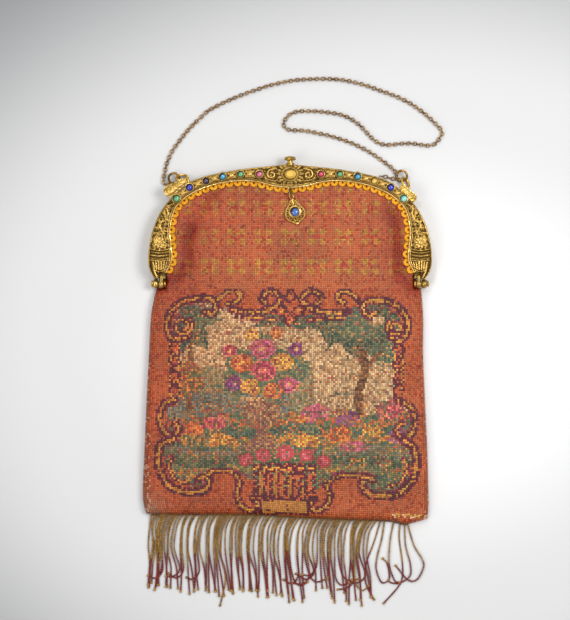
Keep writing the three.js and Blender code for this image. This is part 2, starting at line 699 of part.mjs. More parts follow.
// An oval wire loop, its long side along a direction and its plane turned about that direction.
function turnedHoop(centre, level, towards, tilt, radius, wire, steps, stretch = 1) {
  const geometry = hoop(radius, wire, 5, steps, stretch);
  geometry.rotateX(degrees(tilt));
  geometry.rotateZ(degrees(towards));
  geometry.translate(centre.x, centre.y, level);
  return geometry;
}

const lugLevel = backBarTop / 2;
const hingeLevel = parting;
const centreAt = place(0, 0.921);
const pendantEye = place(0, 0.803);
const pendantLevel = bagDepth + clearance;
const eyeLevel = frontRimTop + linkRadius * Math.sin(degrees(linkTurn)) + linkWire + 0.25;
const buttonLevel = (frontBarBack + socketFloor) / 2 + 0.1;
const boreRadius = stemRadius + clearance;

// The eye of one half of the frame at a hinge, with the neck that carries it
function hingeEye(sign, inside, level) {
  const disc = cylinderAlongX(eyeRadius, inside, inside + eyeWidth, 12);
  disc.translate(0, hingeHeight, hingeLevel);
  const neck = box([inside, inside + eyeWidth], [hingeHeight, hingeHeight + barEnd * archRise + 1.6], level);
  const solid = solidOf(disc).add(solidOf(neck));
  return sign > 0 ? solid : solid.mirror([1, 0, 0]);
}

function pinHole(sign) {
  const hole = cylinderAlongX(pinRadius + clearance, eyeInside - 2, eyeInside + 2 * eyeWidth + 3, 10);
  hole.translate(0, hingeHeight, hingeLevel);
  const solid = solidOf(hole);
  return sign > 0 ? solid : solid.mirror([1, 0, 0]);
}

function frameFront() {
  const edge = crown - barEdgeDrop;
  const section = [
    [0, frontBarBack], [0, edge], [0.25, crown], [0.75, crown], [1, edge], [1, frontBarBack],
  ];
  const solids = [solidOf(bar(section, 44)), solidOf(scallopedRim())];
  const cuts = [];
  for (const sign of [-1, 1]) {
    for (const row of ornaments) solids.push(solidOf(boss(row, sign)));
    for (let i = 0; i < fluteCount; i += 1) {
      const out = fluteRow.out + fluteRow.spread * (i / (fluteCount - 1) - 0.5);
      solids.push(solidOf(boss({ ...fluteRow, out, turn: 0 }, sign)));
    }
    for (const row of sideStones) {
      const at = place(row.out * sign, row.up);
      solids.push(solidOf(bezel(at, row.radius, row.radius)));
      cuts.push(solidOf(socket(at, row.radius, row.radius)));
    }
    const scroll = hoop(scrollRadius, scrollWire, 5, 12);
    const scrollAt = place(0.131 * sign, 0.921);
    scroll.translate(scrollAt.x, scrollAt.y, crown - 0.2);
    solids.push(solidOf(scroll));
    solids.push(hingeEye(sign, eyeInside, [frontBarBack, frontBarBack + 3]));
    cuts.push(pinHole(sign));
  }
  for (const leaf of leaves) {
    const from = place(...leaf.from);
    const to = place(...leaf.to);
    const along = to.clone().sub(from);
    const side = new THREE.Vector2(-along.y, along.x).normalize().multiplyScalar(leaf.wide / 2);
    const at = (share, width) => from.clone().addScaledVector(along, share).addScaledVector(side, width);
    const outline = [from, at(0.3, 1), at(0.75, 0.8), to, at(0.75, -0.8), at(0.3, -1)];
    if (THREE.ShapeUtils.isClockWise(outline)) outline.reverse();
    solids.push(solidOf(plate(outline, [], crown + leafRise - leafThick, crown + leafRise)));
  }
  solids.push(solidOf(bezel(centreAt, centreStoneWide / 2, centreStoneTall / 2)));
  cuts.push(solidOf(socket(centreAt, centreStoneWide / 2, centreStoneTall / 2)));
  const collarTall = collarRise + collarSink;
  const collar = new THREE.CylinderGeometry(collarRadius, collarRadius, collarTall, 12);
  collar.translate(0, archTop + collarRise - collarTall / 2, buttonLevel);
  solids.push(solidOf(collar));
  const boreLow = archTop - stemDepth - buttonTravel - boreSpare;
  const boreLong = stemDepth + buttonTravel + boreSpare + collarRise + 1;
  const bore = new THREE.CylinderGeometry(boreRadius, boreRadius, boreLong, 12);
  bore.translate(0, boreLow + boreLong / 2, buttonLevel);
  cuts.push(solidOf(bore));
  const eye = hoop(linkRadius, linkWire, 5, 10);
  eye.rotateY(degrees(linkTurn));
  eye.translate(pendantEye.x, pendantEye.y, eyeLevel);
  solids.push(solidOf(eye));
  const footLow = pendantEye.y + linkRadius - 0.3;
  const footAcross = [-linkRadius / 2, linkRadius / 2];
  const footUp = [frontRimTop - 0.3, eyeLevel + linkWire];
  solids.push(solidOf(box(footAcross, [footLow, footLow + eyeFoot], footUp)));
  return wasm.Manifold.union(solids).subtract(wasm.Manifold.union(cuts));
}

function frameBack() {
  const section = [[0, backBarTop], [0, 1], [0.12, 0], [0.88, 0], [1, 1], [1, backBarTop]];
  const solids = [solidOf(bar(section, 36)), solidOf(plainRim())];
  const cuts = [];
  for (const sign of [-1, 1]) {
    solids.push(hingeEye(sign, eyeInside + eyeWidth + clearance, [backBarTop - 3, backBarTop]));
    cuts.push(pinHole(sign));
  }
  for (const lug of lugs) {
    const at = place(lug.out, lug.up);
    const loop = turnedHoop(at, lugLevel, lug.towards, lugTilt, lugTall, lugWire, 12, lugLong / lugTall);
    solids.push(solidOf(loop));
    const reach = new THREE.Vector2(-lugLong, 0).rotateAround(new THREE.Vector2(), degrees(lug.towards));
    const end = at.clone().add(reach);
    const foot = place(...lug.foot);
    const along = end.clone().sub(foot);
    const side = new THREE.Vector2(-along.y, along.x).normalize();
    const outline = [end.clone().sub(side), end.clone().add(side), foot.clone().add(side), foot.clone().sub(side)];
    solids.push(solidOf(plate(outline, [], lugLevel - 1, lugLevel + 1)));
  }
  return wasm.Manifold.union(solids).subtract(wasm.Manifold.union(cuts));
}

function hingePin(sign) {
  const inside = eyeInside - clearance;
  const outside = eyeInside + 2 * eyeWidth + 2 * clearance;
  const profile = [
    [0, inside - headThick], [headRadius, inside - headThick], [headRadius, inside],
    [pinRadius, inside], [pinRadius, outside], [headRadius, outside],
    [headRadius * 0.7, outside + headThick], [0, outside + headThick],
  ];
  const geometry = new THREE.LatheGeometry(profile.map(([r, x]) => new THREE.Vector2(r, x)), 12);
  geometry.rotateZ(-Math.PI / 2);
  geometry.translate(0, hingeHeight, hingeLevel);
  const solid = solidOf(geometry);
  return sign > 0 ? solid : solid.mirror([1, 0, 0]);
}

// A round stone with a domed top, or a cut one with a flat table.
function stone(wide, tall, rise, table, sides) {
  const seat = socketFloor + clearance;
  const profile = [[0, seat], [1, seat], [1, seat + 0.8], [table ? 0.72 : 0.74, seat + rise * 0.78]];
  if (table) profile.push([0.56, seat + rise]);
  profile.push([0, seat + rise]);
  const geometry = new THREE.LatheGeometry(profile.map(([r, z]) => new THREE.Vector2(r, z)), sides);
  geometry.rotateX(Math.PI / 2);
  geometry.scale(wide, tall, 1);
  return solidOf(geometry);
}

function claspButton() {
  const under = archTop + collarRise + buttonTravel + clearance;
  const profile = [
    [0, archTop - stemDepth], [stemRadius, archTop - stemDepth], [stemRadius, under - clearance],
    [neckRadius, under], [buttonRadius, under],
    [buttonRadius, under + buttonThick * 0.6], [buttonRadius * 0.6, under + buttonThick],
    [0, under + buttonThick],
  ];
  const geometry = new THREE.LatheGeometry(profile.map(([r, y]) => new THREE.Vector2(r, y)), 14);
  geometry.translate(0, 0, buttonLevel);
  return solidOf(geometry);
}

// The pendant drop, drawn upright with its middle at the origin: half widths at shares of its height
const dropOutline = [
  { up: 0.5, half: 0.1 }, { up: 0.42, half: 0.34 }, { up: 0.3, half: 0.5 }, { up: 0.22, half: 0.76 },
  { up: 0.08, half: 0.98 }, { up: -0.06, half: 1 }, { up: -0.2, half: 0.8 }, { up: -0.28, half: 0.56 },
  { up: -0.4, half: 0.34 }, { up: -0.5, half: 0.12 },
];
const dropGaps = 8;
const bailAt = pendantEye.clone().add(new THREE.Vector2(3 * linkDrift, -3 * linkStep));
const lean = degrees(pendantLean);
const hangs = new THREE.Vector2(Math.sin(lean), -Math.cos(lean));
const dropAt = bailAt.clone().addScaledVector(hangs, pendantTall / 2 + linkRadius);
const dropTop = pendantLevel + pendantThick;
const dropSeat = dropTop - seatDepth;

function pendant() {
  const right = dropOutline.map((row) => new THREE.Vector2(row.half * pendantWide / 2, row.up * pendantTall));
  const left = [...right].reverse().map((p) => new THREE.Vector2(-p.x, p.y));
  const outline = [...right, ...left].reverse();
  const gapReach = pendantStoneRadius + clearance + bezelWall + gapRing;
  const gaps = Array.from({ length: dropGaps }, (_, i) => {
    const angle = ((i + 0.5) * 2 * Math.PI) / dropGaps;
    const centre = new THREE.Vector2(gapReach * Math.cos(angle), gapReach * Math.sin(angle) * 1.12);
    return ringOf(centre, gapRadius, 6, angle);
  });
  const body = solidOf(plate(outline, gaps, pendantLevel, dropTop));
  const settingRadius = pendantStoneRadius + clearance + bezelWall;
  const setting = solidOf(cylinderAlongZ(settingRadius, pendantLevel, dropTop + settingRise, 14));
  const seat = solidOf(cylinderAlongZ(pendantStoneRadius + clearance, dropSeat, dropTop + 3, 14));
  const bailHoop = hoop(linkRadius, linkWire, 5, 10);
  bailHoop.rotateY(degrees(-linkTurn));
  bailHoop.translate(0, pendantTall / 2 + linkRadius, eyeLevel);
  const neckUp = [pendantTall / 2 - 1, pendantTall / 2 + 0.4];
  const neck = box([-0.7, 0.7], neckUp, [pendantLevel + 0.4, eyeLevel + 0.5]);
  const all = wasm.Manifold.union([body, setting, solidOf(bailHoop), solidOf(neck)]).subtract(seat);
  return all.rotate([0, 0, pendantLean]).translate([dropAt.x, dropAt.y, 0]);
}

function pendantStone() {
  const seat = dropSeat + clearance;
  const profile = [
    [0, seat], [0.85, seat], [1, seat + pendantStoneDome * 0.23], [0.78, seat + pendantStoneDome * 0.73],
    [0, seat + pendantStoneDome],
  ];
  const geometry = new THREE.LatheGeometry(profile.map(([r, z]) => new THREE.Vector2(r, z)), 12);
  geometry.rotateX(Math.PI / 2);
  geometry.scale(pendantStoneRadius, pendantStoneRadius, 1);
  geometry.translate(dropAt.x, dropAt.y, 0);
  return solidOf(geometry);
}

function pendantLink(number) {
  const geometry = hoop(linkRadius, linkWire, 5, 10);
  geometry.rotateY(degrees(number % 2 === 0 ? linkTurn : -linkTurn));
  geometry.translate(pendantEye.x + number * linkDrift, pendantEye.y - number * linkStep, eyeLevel);
  return solidOf(geometry);
}

// A tube that stands for a run of chain links lying on the surface.
function chainTube(route, steps) {
  const radius = chainWidth / 2;
  const level = radius + underChain;
  const points = route.map(([out, up]) => new THREE.Vector3(...place(out, up), level));
  const path = new THREE.CatmullRomCurve3(points, false, 'centripetal');
  const section = new THREE.Shape(ringOf(new THREE.Vector2(), radius, 8, Math.PI / 8));
  return new THREE.ExtrudeGeometry(section, { steps, bevelEnabled: false, extrudePath: path });
}

function fringe() {
  const hemAt = (x) => {
    const k = hem.findIndex((p) => p.x >= x);
    return hem[Math.max(k, 0)].y;
  };
  const top = (x) => hemAt(x) - clearance - hemSlack;
  const ends = [(locks[0].head - 0.02) * frameHalf, (locks[locks.length - 1].head + 0.02) * frameHalf];
  const rings = Array.from({ length: headSteps + 1 }, (_, i) => {
    const x = ends[0] + ((ends[1] - ends[0]) * i) / headSteps;
    const y = top(x) - 0.1;
    return [[y, 0.2], [y, fringeHeadThick], [y - fringeHeadTall, lockThick], [y - fringeHeadTall, 0.2]]
      .map(([py, pz]) => new THREE.Vector3(x, py, pz));
  });
  const solids = [solidOf(outward(loft(rings)))];
  locks.forEach((lock, i) => {
    const x = lock.head * frameHalf;
    const high = top(x) - fringeHeadTall * 0.5;
    const low = top(x) - lock.reach * fringeLength;
    const tuck = (i % 3) * 0.07;
    const middle = high - 0.45 * (high - low);
    const stations = [
      { x, y: high, wide: lockWidth },
      { x: x + lock.mid * fringeLength, y: middle, wide: lockWidth * 0.92 },
      { x: x + lock.tip * fringeLength, y: low, wide: lockWidth * 0.8 },
    ];
    const section = [
      [-0.5, 0.1 + tuck], [0.5, 0.1 + tuck], [0.4, lockThick - tuck], [-0.4, lockThick - tuck],
    ];
    const lengths = stations.map((row) => (
      section.map(([share, z]) => new THREE.Vector3(row.x + share * row.wide, row.y, z))
    ));
    solids.push(solidOf(outward(loft(lengths))));
  });
  return wasm.Manifold.union(solids);
}

// The assembly

const group = new THREE.Group();
const material = (color, roughness, metalness) => (
  new THREE.MeshStandardMaterial({ color, roughness, metalness })
);
const gilt = material(colours.frame, 0.42, 1);
const brass = material(colours.brass, 0.38, 1);

function add(name, geometry, finish) {
  const mesh = new THREE.Mesh(geometry, finish);
  mesh.name = name;
  group.add(mesh);
}

add('bag_body', bagBody(), material(colours.cloth, 0.75, 0));
add('frame_front', geometryOf(frameFront()), gilt);
add('frame_back', geometryOf(frameBack()), gilt);
add('hinge_pin_left', geometryOf(hingePin(-1)), brass);
add('hinge_pin_right', geometryOf(hingePin(1)), brass);

for (const side of ['left', 'right']) {
  const sign = side === 'left' ? -1 : 1;
  sideStones.forEach((row, i) => {
    const at = place(row.out * sign, row.up);
    const solid = stone(row.radius, row.radius, sideStoneDome, false, settingSides);
    const set = solid.translate([at.x, at.y, 0]);
    add(`stone_${side}_${i + 1}`, geometryOf(set), material(stoneColours[side][i], 0.1, 0));
  });
}
const centre = stone(centreStoneWide / 2, centreStoneTall / 2, centreStoneDome, true, 12);
const centreSet = centre.translate([centreAt.x, centreAt.y, 0]);
add('centre_stone', geometryOf(centreSet), material(colours.citrine, 0.08, 0));
add('clasp_button', geometryOf(claspButton()), brass);

add('pendant', geometryOf(pendant()), gilt);
add('pendant_stone', geometryOf(pendantStone()), material(colours.blue, 0.1, 0));
add('pendant_link_1', geometryOf(pendantLink(1)), gilt);
add('pendant_link_2', geometryOf(pendantLink(2)), gilt);

for (const lug of lugs) {
  const way = new THREE.Vector2(ringRadius + 1.6, 0).rotateAround(new THREE.Vector2(), degrees(lug.towards));
  const at = place(lug.out, lug.up).add(way);
  const ring = turnedHoop(at, lugLevel, lug.towards, ringTilt, ringRadius, ringWire, 14);
  add(`chain_ring_${lug.side}`, geometryOf(solidOf(ring)), gilt);
}
add('chain', chainTube(chainRoute, chainSteps), material(colours.chain, 0.45, 1));
add('chain_tail', chainTube(tailRoute, tailSteps), material(colours.chain, 0.45, 1));
add('fringe', geometryOf(fringe()), material(colours.fringe, 0.6, 0));

export default group;
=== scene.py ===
# A beaded flapper purse, closed and lying on its back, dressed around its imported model.
# Sizes are worked out in millimetres and set into the meshes in metres. +X runs to the right as
# the front is seen, +Y up to the clasp and +Z out of the front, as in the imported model.
import math

import bpy
import numpy as np
from mathutils import Matrix, Vector


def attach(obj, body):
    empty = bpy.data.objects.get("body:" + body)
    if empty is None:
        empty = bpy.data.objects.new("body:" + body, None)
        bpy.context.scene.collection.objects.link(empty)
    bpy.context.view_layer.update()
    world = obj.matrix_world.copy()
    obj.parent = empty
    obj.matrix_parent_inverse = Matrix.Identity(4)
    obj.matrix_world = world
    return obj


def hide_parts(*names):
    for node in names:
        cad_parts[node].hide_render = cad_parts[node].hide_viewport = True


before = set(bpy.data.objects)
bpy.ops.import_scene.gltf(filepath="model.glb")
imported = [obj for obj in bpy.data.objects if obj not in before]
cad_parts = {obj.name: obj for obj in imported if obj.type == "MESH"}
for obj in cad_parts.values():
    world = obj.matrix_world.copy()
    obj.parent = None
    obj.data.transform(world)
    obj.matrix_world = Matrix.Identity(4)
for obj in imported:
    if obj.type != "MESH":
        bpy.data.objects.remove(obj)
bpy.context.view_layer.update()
bpy.ops.object.select_all(action="DESELECT")

MM = 0.001


# The studio: a pale paper floor with a painted vignette, its colour darkening as painted shade away
# from a point right of the middle; soft light from all round with a brighter side at the right, and a camera
# straight above the purse.
def linear(colour):
    parts = [int(colour[i:i + 2], 16) / 255 for i in (1, 3, 5)]
    return [p / 12.92 if p <= 0.04045 else ((p + 0.055) / 1.055) ** 2.4 for p in parts]


def shade(colour):
    return (*linear(colour), 1.0)


def new_material(name):
    made = bpy.data.materials.new(name)
    made.use_nodes = True
    return made, made.node_tree, made.node_tree.nodes["Principled BSDF"]


def set_inputs(tree, target, inputs):
    for key, value in inputs.items():
        if isinstance(value, bpy.types.NodeSocket):
            tree.links.new(value, target.inputs[key])
        else:
            target.inputs[key].default_value = value


def add_node(tree, kind, inputs=None, **settings):
    made = tree.nodes.new(kind)
    for name, value in settings.items():
        setattr(made, name, value)
    set_inputs(tree, made, inputs or {})
    return made


def noise(tree, place, scale, detail):
    # Cloudy patches, scale of them to the metre.
    return add_node(tree, "ShaderNodeTexNoise",
                    {"Vector": place.outputs["Object"], "Scale": scale, "Detail": detail})


bpy.ops.mesh.primitive_grid_add(x_subdivisions=24, y_subdivisions=24, size=3.0, location=(0, 0, 0))
floor = bpy.context.object
floor.name = "paper_floor"
paper, tree, surface = new_material("paper with painted vignette")
place = add_node(tree, "ShaderNodeTexCoord")
centred = add_node(tree, "ShaderNodeMapping", {"Vector": place.outputs["Object"],
                                               "Location": (-0.16, 0.02, 0), "Scale": (2.1, 2.9, 1)})
# Painted vignette: the paper's colour darkens as painted shade with distance from the ramp's centre.
reach = add_node(tree, "ShaderNodeVectorMath", {0: centred.outputs["Vector"]}, operation="LENGTH")
painted_vignette = add_node(tree, "ShaderNodeValToRGB", {"Fac": reach.outputs["Value"]})
painted_vignette.color_ramp.elements[0].position = 0.15
painted_vignette.color_ramp.interpolation = "EASE"
painted_vignette.color_ramp.elements[0].color = shade("#e3e3e3")
painted_vignette.color_ramp.elements[1].position = 1.05
painted_vignette.color_ramp.elements[1].color = shade("#7e7f81")
middle = painted_vignette.color_ramp.elements.new(0.5)
middle.color = shade("#cccccc")
set_inputs(tree, surface, {"Base Color": painted_vignette.outputs["Color"], "Roughness": 0.9, "Specular IOR Level": 0.15})
floor.data.materials.append(paper)

view = bpy.context.scene.view_settings
view.view_transform = "Standard"
view.look = "None"

world = bpy.data.worlds.new("soft studio")
world.use_nodes = True
world.node_tree.nodes["Background"].inputs["Color"].default_value = (1.0, 1.0, 1.0, 1.0)
world.node_tree.nodes["Background"].inputs["Strength"].default_value = 0.42
bpy.context.scene.world = world


def area_light(name, at, towards, size, power):
    bpy.ops.object.light_add(type="AREA", location=at)
    lamp = bpy.context.object
    lamp.name = name
    lamp.data.shape = "DISK"
    lamp.data.size = size
    lamp.data.energy = power
    lamp.rotation_euler = (Vector(towards) - Vector(at)).to_track_quat("-Z", "Y").to_euler()
    return lamp


area_light("key", (0.75, 0.25, 1.25), (0.02, 0.0, 0.0), 0.7, 13.0)
area_light("fill", (-0.85, -0.35, 1.2), (0.0, 0.0, 0.0), 0.9, 7.0)
area_light("top", (-0.15, 1.0, 1.1), (0.0, 0.05, 0.0), 0.8, 5.0)
area_light("sparkle", (-0.28, 0.5, 1.15), (0.0, 0.05, 0.0), 0.1, 2.2)

bpy.ops.object.camera_add(location=(-0.0034, 0.0236, 1.5175), rotation=(0, 0, 0))
camera = bpy.context.object
camera.data.lens = 130
camera.data.sensor_width = 36
camera.data.clip_start = 0.01
bpy.context.scene.camera = camera
bpy.ops.object.select_all(action="DESELECT")


# The bag: two cloths covered in seed beads, one bead to each 1.35 mm, sewn at the sides and hem and
# sewn to the frame at the mouth. The cloth is a grid with a cell for each bead; the cells are
# inset and raised into beads, and each bead has its own glass colour from the charts below.
FRAME_HALF = 95.4
HINGE_Y = 41.2
ARCH_RISE = 80.1
HEM_DROP = 116.0
BEAD = 1.35
CLOTH_WALL = 1.0
BEAD_RISE = 0.42
SEAM_LEVEL = 2.4
EDGE_ROUND = 6.0
MOUTH_FRONT = 9.4
MOUTH_BACK = 1.2
BAG_DEPTH = 10.7
HEM_DEPTH = 8.2
SEWN_EDGE = 1.0
BEAD_GAP = 0.36

OUTER_EDGE = [(0, 1), (0.198, 0.981), (0.346, 0.961), (0.524, 0.923), (0.618, 0.895), (0.708, 0.851),
              (0.797, 0.767), (0.872, 0.673), (0.922, 0.584), (0.961, 0.477), (0.984, 0.376),
              (0.997, 0.275), (1, 0.194), (0.992, 0.126), (0.972, 0.075), (0.955, 0.047)]
SEWING_LINE = [(0, 0.797), (0.116, 0.81), (0.234, 0.844), (0.352, 0.853), (0.476, 0.835), (0.59, 0.799),
               (0.702, 0.737), (0.785, 0.653), (0.816, 0.578), (0.828, 0.514), (0.836, 0.443),
               (0.833, 0.371), (0.822, 0.226), (0.837, 0.151), (0.862, 0.096), (0.862, 0.041),
               (0.858, -0.042)]
# The sides, up from the hem to the hinge, left and right as shares of the half width
SIDES = [(0, 1.012, 0.975), (0.06, 1.038, 0.98), (0.12, 1.042, 0.978), (0.3, 1.029, 0.97),
         (0.5, 1.015, 0.954), (0.7, 0.998, 0.941), (0.86, 0.984, 0.942), (0.968, 0.95, 0.928)]
# The hem, across as a share of the half width and drop as a share of the hem's drop
HEM = [(-1.012, 0.984), (-0.27, 0.986), (0, 0.997), (0.36, 1.012), (0.69, 1.021), (0.83, 1.041),
       (0.975, 1.012)]


def arch_place(out, up):
    return np.array([out * FRAME_HALF, HINGE_Y + up * ARCH_RISE])


def smooth_line(points, per_span=24):
    # A rounded line through points, dense enough to measure along.
    points = [np.array(p, float) for p in points]
    padded = [2 * points[0] - points[1], *points, 2 * points[-1] - points[-2]]
    line = []
    for a, b, c, d in zip(padded, padded[1:], padded[2:], padded[3:]):
        for t in np.linspace(0, 1, per_span, endpoint=False):
            line.append(0.5 * (2 * b + (c - a) * t + (2 * a - 5 * b + 4 * c - d) * t ** 2
                               + (3 * b - a - 3 * c + d) * t ** 3))
    line.append(points[-1])
    return np.array(line)


def evenly(line, shares):
    # Points of a dense line at shares of its length.
    steps = np.linalg.norm(np.diff(line, axis=0), axis=1)
    lengths = np.concatenate([[0], np.cumsum(steps)])
    wanted = np.asarray(shares) * lengths[-1]
    return np.stack([np.interp(wanted, lengths, line[:, k]) for k in range(line.shape[1])], axis=1)


def arch_line(table, count=600):
    right = [arch_place(out, up) for out, up in table]
    left = [p * (-1, 1) for p in right[:0:-1]]
    return evenly(smooth_line(left + right), np.linspace(0, 1, count))


def spread(line, distance):
    # Moves a line away from the bag's middle.
    ways = np.gradient(line, axis=0)
    ways /= np.linalg.norm(ways, axis=1)[:, None]
    return line + distance * np.stack([-ways[:, 1], ways[:, 0]], axis=1)


def distances(line, x, y):
    # How far each point lies from a line, and the nearest point of it.
    best = np.full(len(x), 1e9)
    near = np.zeros((len(x), 2))
    for px, py in line:
        off = np.hypot(x - px, y - py)
        closer = off < best
        best[closer] = off[closer]
        near[closer] = (px, py)
    return best, near


def soft_step(share):
    s = np.clip(share, 0, 1)
    return s * s * (3 - 2 * s)


def inside_line(line, x, y):
    count = np.zeros(len(x), int)
    for (x1, y1), (x2, y2) in zip(line, np.roll(line, -1, axis=0)):
        crosses = (y1 > y) != (y2 > y)
        if y2 != y1:
            count += crosses & (x < x1 + (y - y1) * (x2 - x1) / (y2 - y1))
    return count % 2 == 1


def off_line(points, x, y, spans):
    # How far each place lies from a line through points.
    line = smooth_line(points, spans) if len(points) > 2 else np.array(points, float)
    off = np.full(len(x), 1e9)
    for (x1, y1), (x2, y2) in zip(line, line[1:]):
        dx, dy = x2 - x1, y2 - y1
        t = np.clip(((x - x1) * dx + (y - y1) * dy) / max(dx * dx + dy * dy, 1e-9), 0, 1)
        off = np.minimum(off, np.hypot(x - x1 - t * dx, y - y1 - t * dy))
    return off


def value_noise(x, y, scale, seed):
    # Smooth noise from -1 to 1, the same on each run.
    def corner(i, j):
        return (np.sin(i * 127.1 + j * 311.7 + seed * 74.7) * 43758.5453) % 1.0
    i, j = np.floor(x / scale), np.floor(y / scale)
    u, v = soft_step(x / scale - i), soft_step(y / scale - j)
    low = corner(i, j) * (1 - u) + corner(i + 1, j) * u
    high = corner(i, j + 1) * (1 - u) + corner(i + 1, j + 1) * u
    return 2 * (low * (1 - v) + high * v) - 1


sewing = arch_line(SEWING_LINE)
outer = arch_line(OUTER_EDGE)
mouth = spread(sewing, SEWN_EDGE)
hem_line = smooth_line([(across * FRAME_HALF, -drop * HEM_DROP) for across, drop in HEM])
side_up = np.array([row[0] for row in SIDES]) * (HINGE_Y + HEM_DROP) - HEM_DROP
# The cloth tucks in under the hinges before the mouth begins
HINGE_TUCK = [(88.4, 40.4), (86.2, 43.4)]
mouth = mouth[mouth[:, 1] > 44.7]
left_seam = smooth_line([(-row[1] * FRAME_HALF, y) for row, y in zip(SIDES, side_up)]
                        + [(-x, y) for x, y in HINGE_TUCK] + [mouth[0]])
right_seam = smooth_line([(row[2] * FRAME_HALF, y) for row, y in zip(SIDES, side_up)] + HINGE_TUCK
                         + [mouth[-1]])
seam_edge = np.vstack([evenly(left_seam, np.linspace(0, 1, 200)), evenly(right_seam, np.linspace(0, 1, 200)),
                       evenly(hem_line, np.linspace(0, 1, 200))])
outline = np.vstack([left_seam, mouth, right_seam[::-1], hem_line[::-1]])

# Folds of the front cloth: a line in millimetres, its depth and its reach to each side
FOLDS = [
    ([(-89, 38), (-76, 46), (-69, 56), (-70, 66), (-66, 78)], 2.0, 3.4),
    ([(-49, 104), (-60, 90), (-69, 73)], 1.3, 2.6),
    ([(69, 88), (71.5, 75), (73.5, 58), (73, 50), (78, 42), (84, 36)], 2.0, 3.2),
    ([(63.5, 96), (66, 86)], 0.8, 2.4),
    ([(53, 100), (54, 90)], 0.7, 2.4),
    ([(18.7, 104), (19, 92)], 0.8, 2.2),
    ([(-19, 100), (-21, 70)], 0.7, 3.4),
    ([(-38, 103), (-42, 84)], 0.5, 3.0),
    ([(-5, 100), (-4, 86)], 0.5, 2.6),
    ([(38, 104), (39, 88)], 0.5, 2.6),
    ([(-90, 8), (-60, 2), (-20, 6)], 0.35, 9.0),
    ([(88, -20), (50, -30)], 0.35, 10.0),
]


def front_level(x, y):
    from_mouth, _ = distances(mouth[::2], x, y)
    swell = soft_step((from_mouth - 5) / 22)
    body = HEM_DEPTH + (BAG_DEPTH - HEM_DEPTH) * soft_step((y + HEM_DROP) / (0.35 * (HINGE_Y + HEM_DROP)))
    depth = np.zeros(len(x))
    for points, deep, reach in FOLDS:
        off, _ = distances(smooth_line(points, 10), x, y)
        depth = np.maximum(depth, deep * np.exp(-((off / reach) ** 2)))
    ripple = 0.28 * value_noise(x, y * 0.5, 9, 3) + 0.12 * value_noise(x, y, 4, 5) - 0.3
    near_top = np.exp(-((from_mouth - 9) / 9) ** 2)
    gathers = 0.35 * near_top * np.sin(x * 2 * math.pi / 9.3 + 1.3 * value_noise(x, y, 20, 9))
    return MOUTH_FRONT + (body - MOUTH_FRONT) * swell + (ripple + gathers - depth) * soft_step(from_mouth / 9)


def back_level(x, y):
    from_mouth, _ = distances(mouth[::2], x, y)
    return MOUTH_BACK * (1 - soft_step((from_mouth - 4) / 14))


columns = 140
rows_of_beads = 171
grid_low = -HEM_DROP
across, upward = np.meshgrid(np.linspace(0, 1, columns + 1), np.arange(rows_of_beads + 1) * BEAD)
across, upward = across.ravel(), upward.ravel()
hem_y = np.interp((across * 2 - 1) * FRAME_HALF, hem_line[:, 0], hem_line[:, 1])
flat_y = grid_low + upward + (hem_y - grid_low) * (1 - soft_step(upward / 60))
# The columns of beads run straight on up from the hinges
left_edge = np.vstack([left_seam[left_seam[:, 1] < 40], [(-88.4, 41), (-87.6, 60), (-87, 90)]])
right_edge = np.vstack([right_seam[right_seam[:, 1] < 40], [(88.4, 41), (87.6, 60), (87, 90)]])
left_x = np.interp(flat_y, left_edge[:, 1], left_edge[:, 0])
right_x = np.interp(flat_y, right_edge[:, 1], right_edge[:, 0])
flat_x = left_x + across * (right_x - left_x)
flat_y = np.where(upward == 0, np.interp(flat_x, hem_line[:, 0], hem_line[:, 1]), flat_y)

cells = np.arange(columns * rows_of_beads)
cell_column, cell_row = cells % columns, cells // columns
first = cell_row * (columns + 1) + cell_column
ring = np.stack([first, first + 1, first + columns + 2, first + columns + 1], axis=1)
middle_x, middle_y = flat_x[ring].mean(axis=1), flat_y[ring].mean(axis=1)
kept = (middle_y < 25) | inside_line(outline, middle_x, middle_y)

above_sides = (flat_y > 25) & ~inside_line(outline, flat_x, flat_y)
_, nearest = distances(outline, flat_x, flat_y)
flat_x = np.where(above_sides, nearest[:, 0], flat_x)
flat_y = np.where(above_sides, nearest[:, 1], flat_y)

on_seam = (upward == 0) | (((across == 0) | (across == 1)) & (flat_y < HINGE_Y))
at_corner = above_sides & (flat_y < 34)
off_seam, _ = distances(seam_edge, flat_x, flat_y)
swell = np.sqrt(1 - (1 - np.clip(off_seam / EDGE_ROUND, 0, 1)) ** 2)
near_mouth, _ = distances(mouth, flat_x, flat_y)
swell = np.where(near_mouth < 2, 1, swell)
swell = np.where(on_seam | at_corner, 0, swell)
jog = 0.05 * np.stack([value_noise(flat_x, flat_y, 1.1, 21), value_noise(flat_x, flat_y, 1.3, 22)], axis=1)
jog[on_seam] = 0

# Marks that keep the four quarters of the bag apart until they are separated
quarter_marks = [bpy.data.materials.new(f"quarter {k}") for k in range(4)]


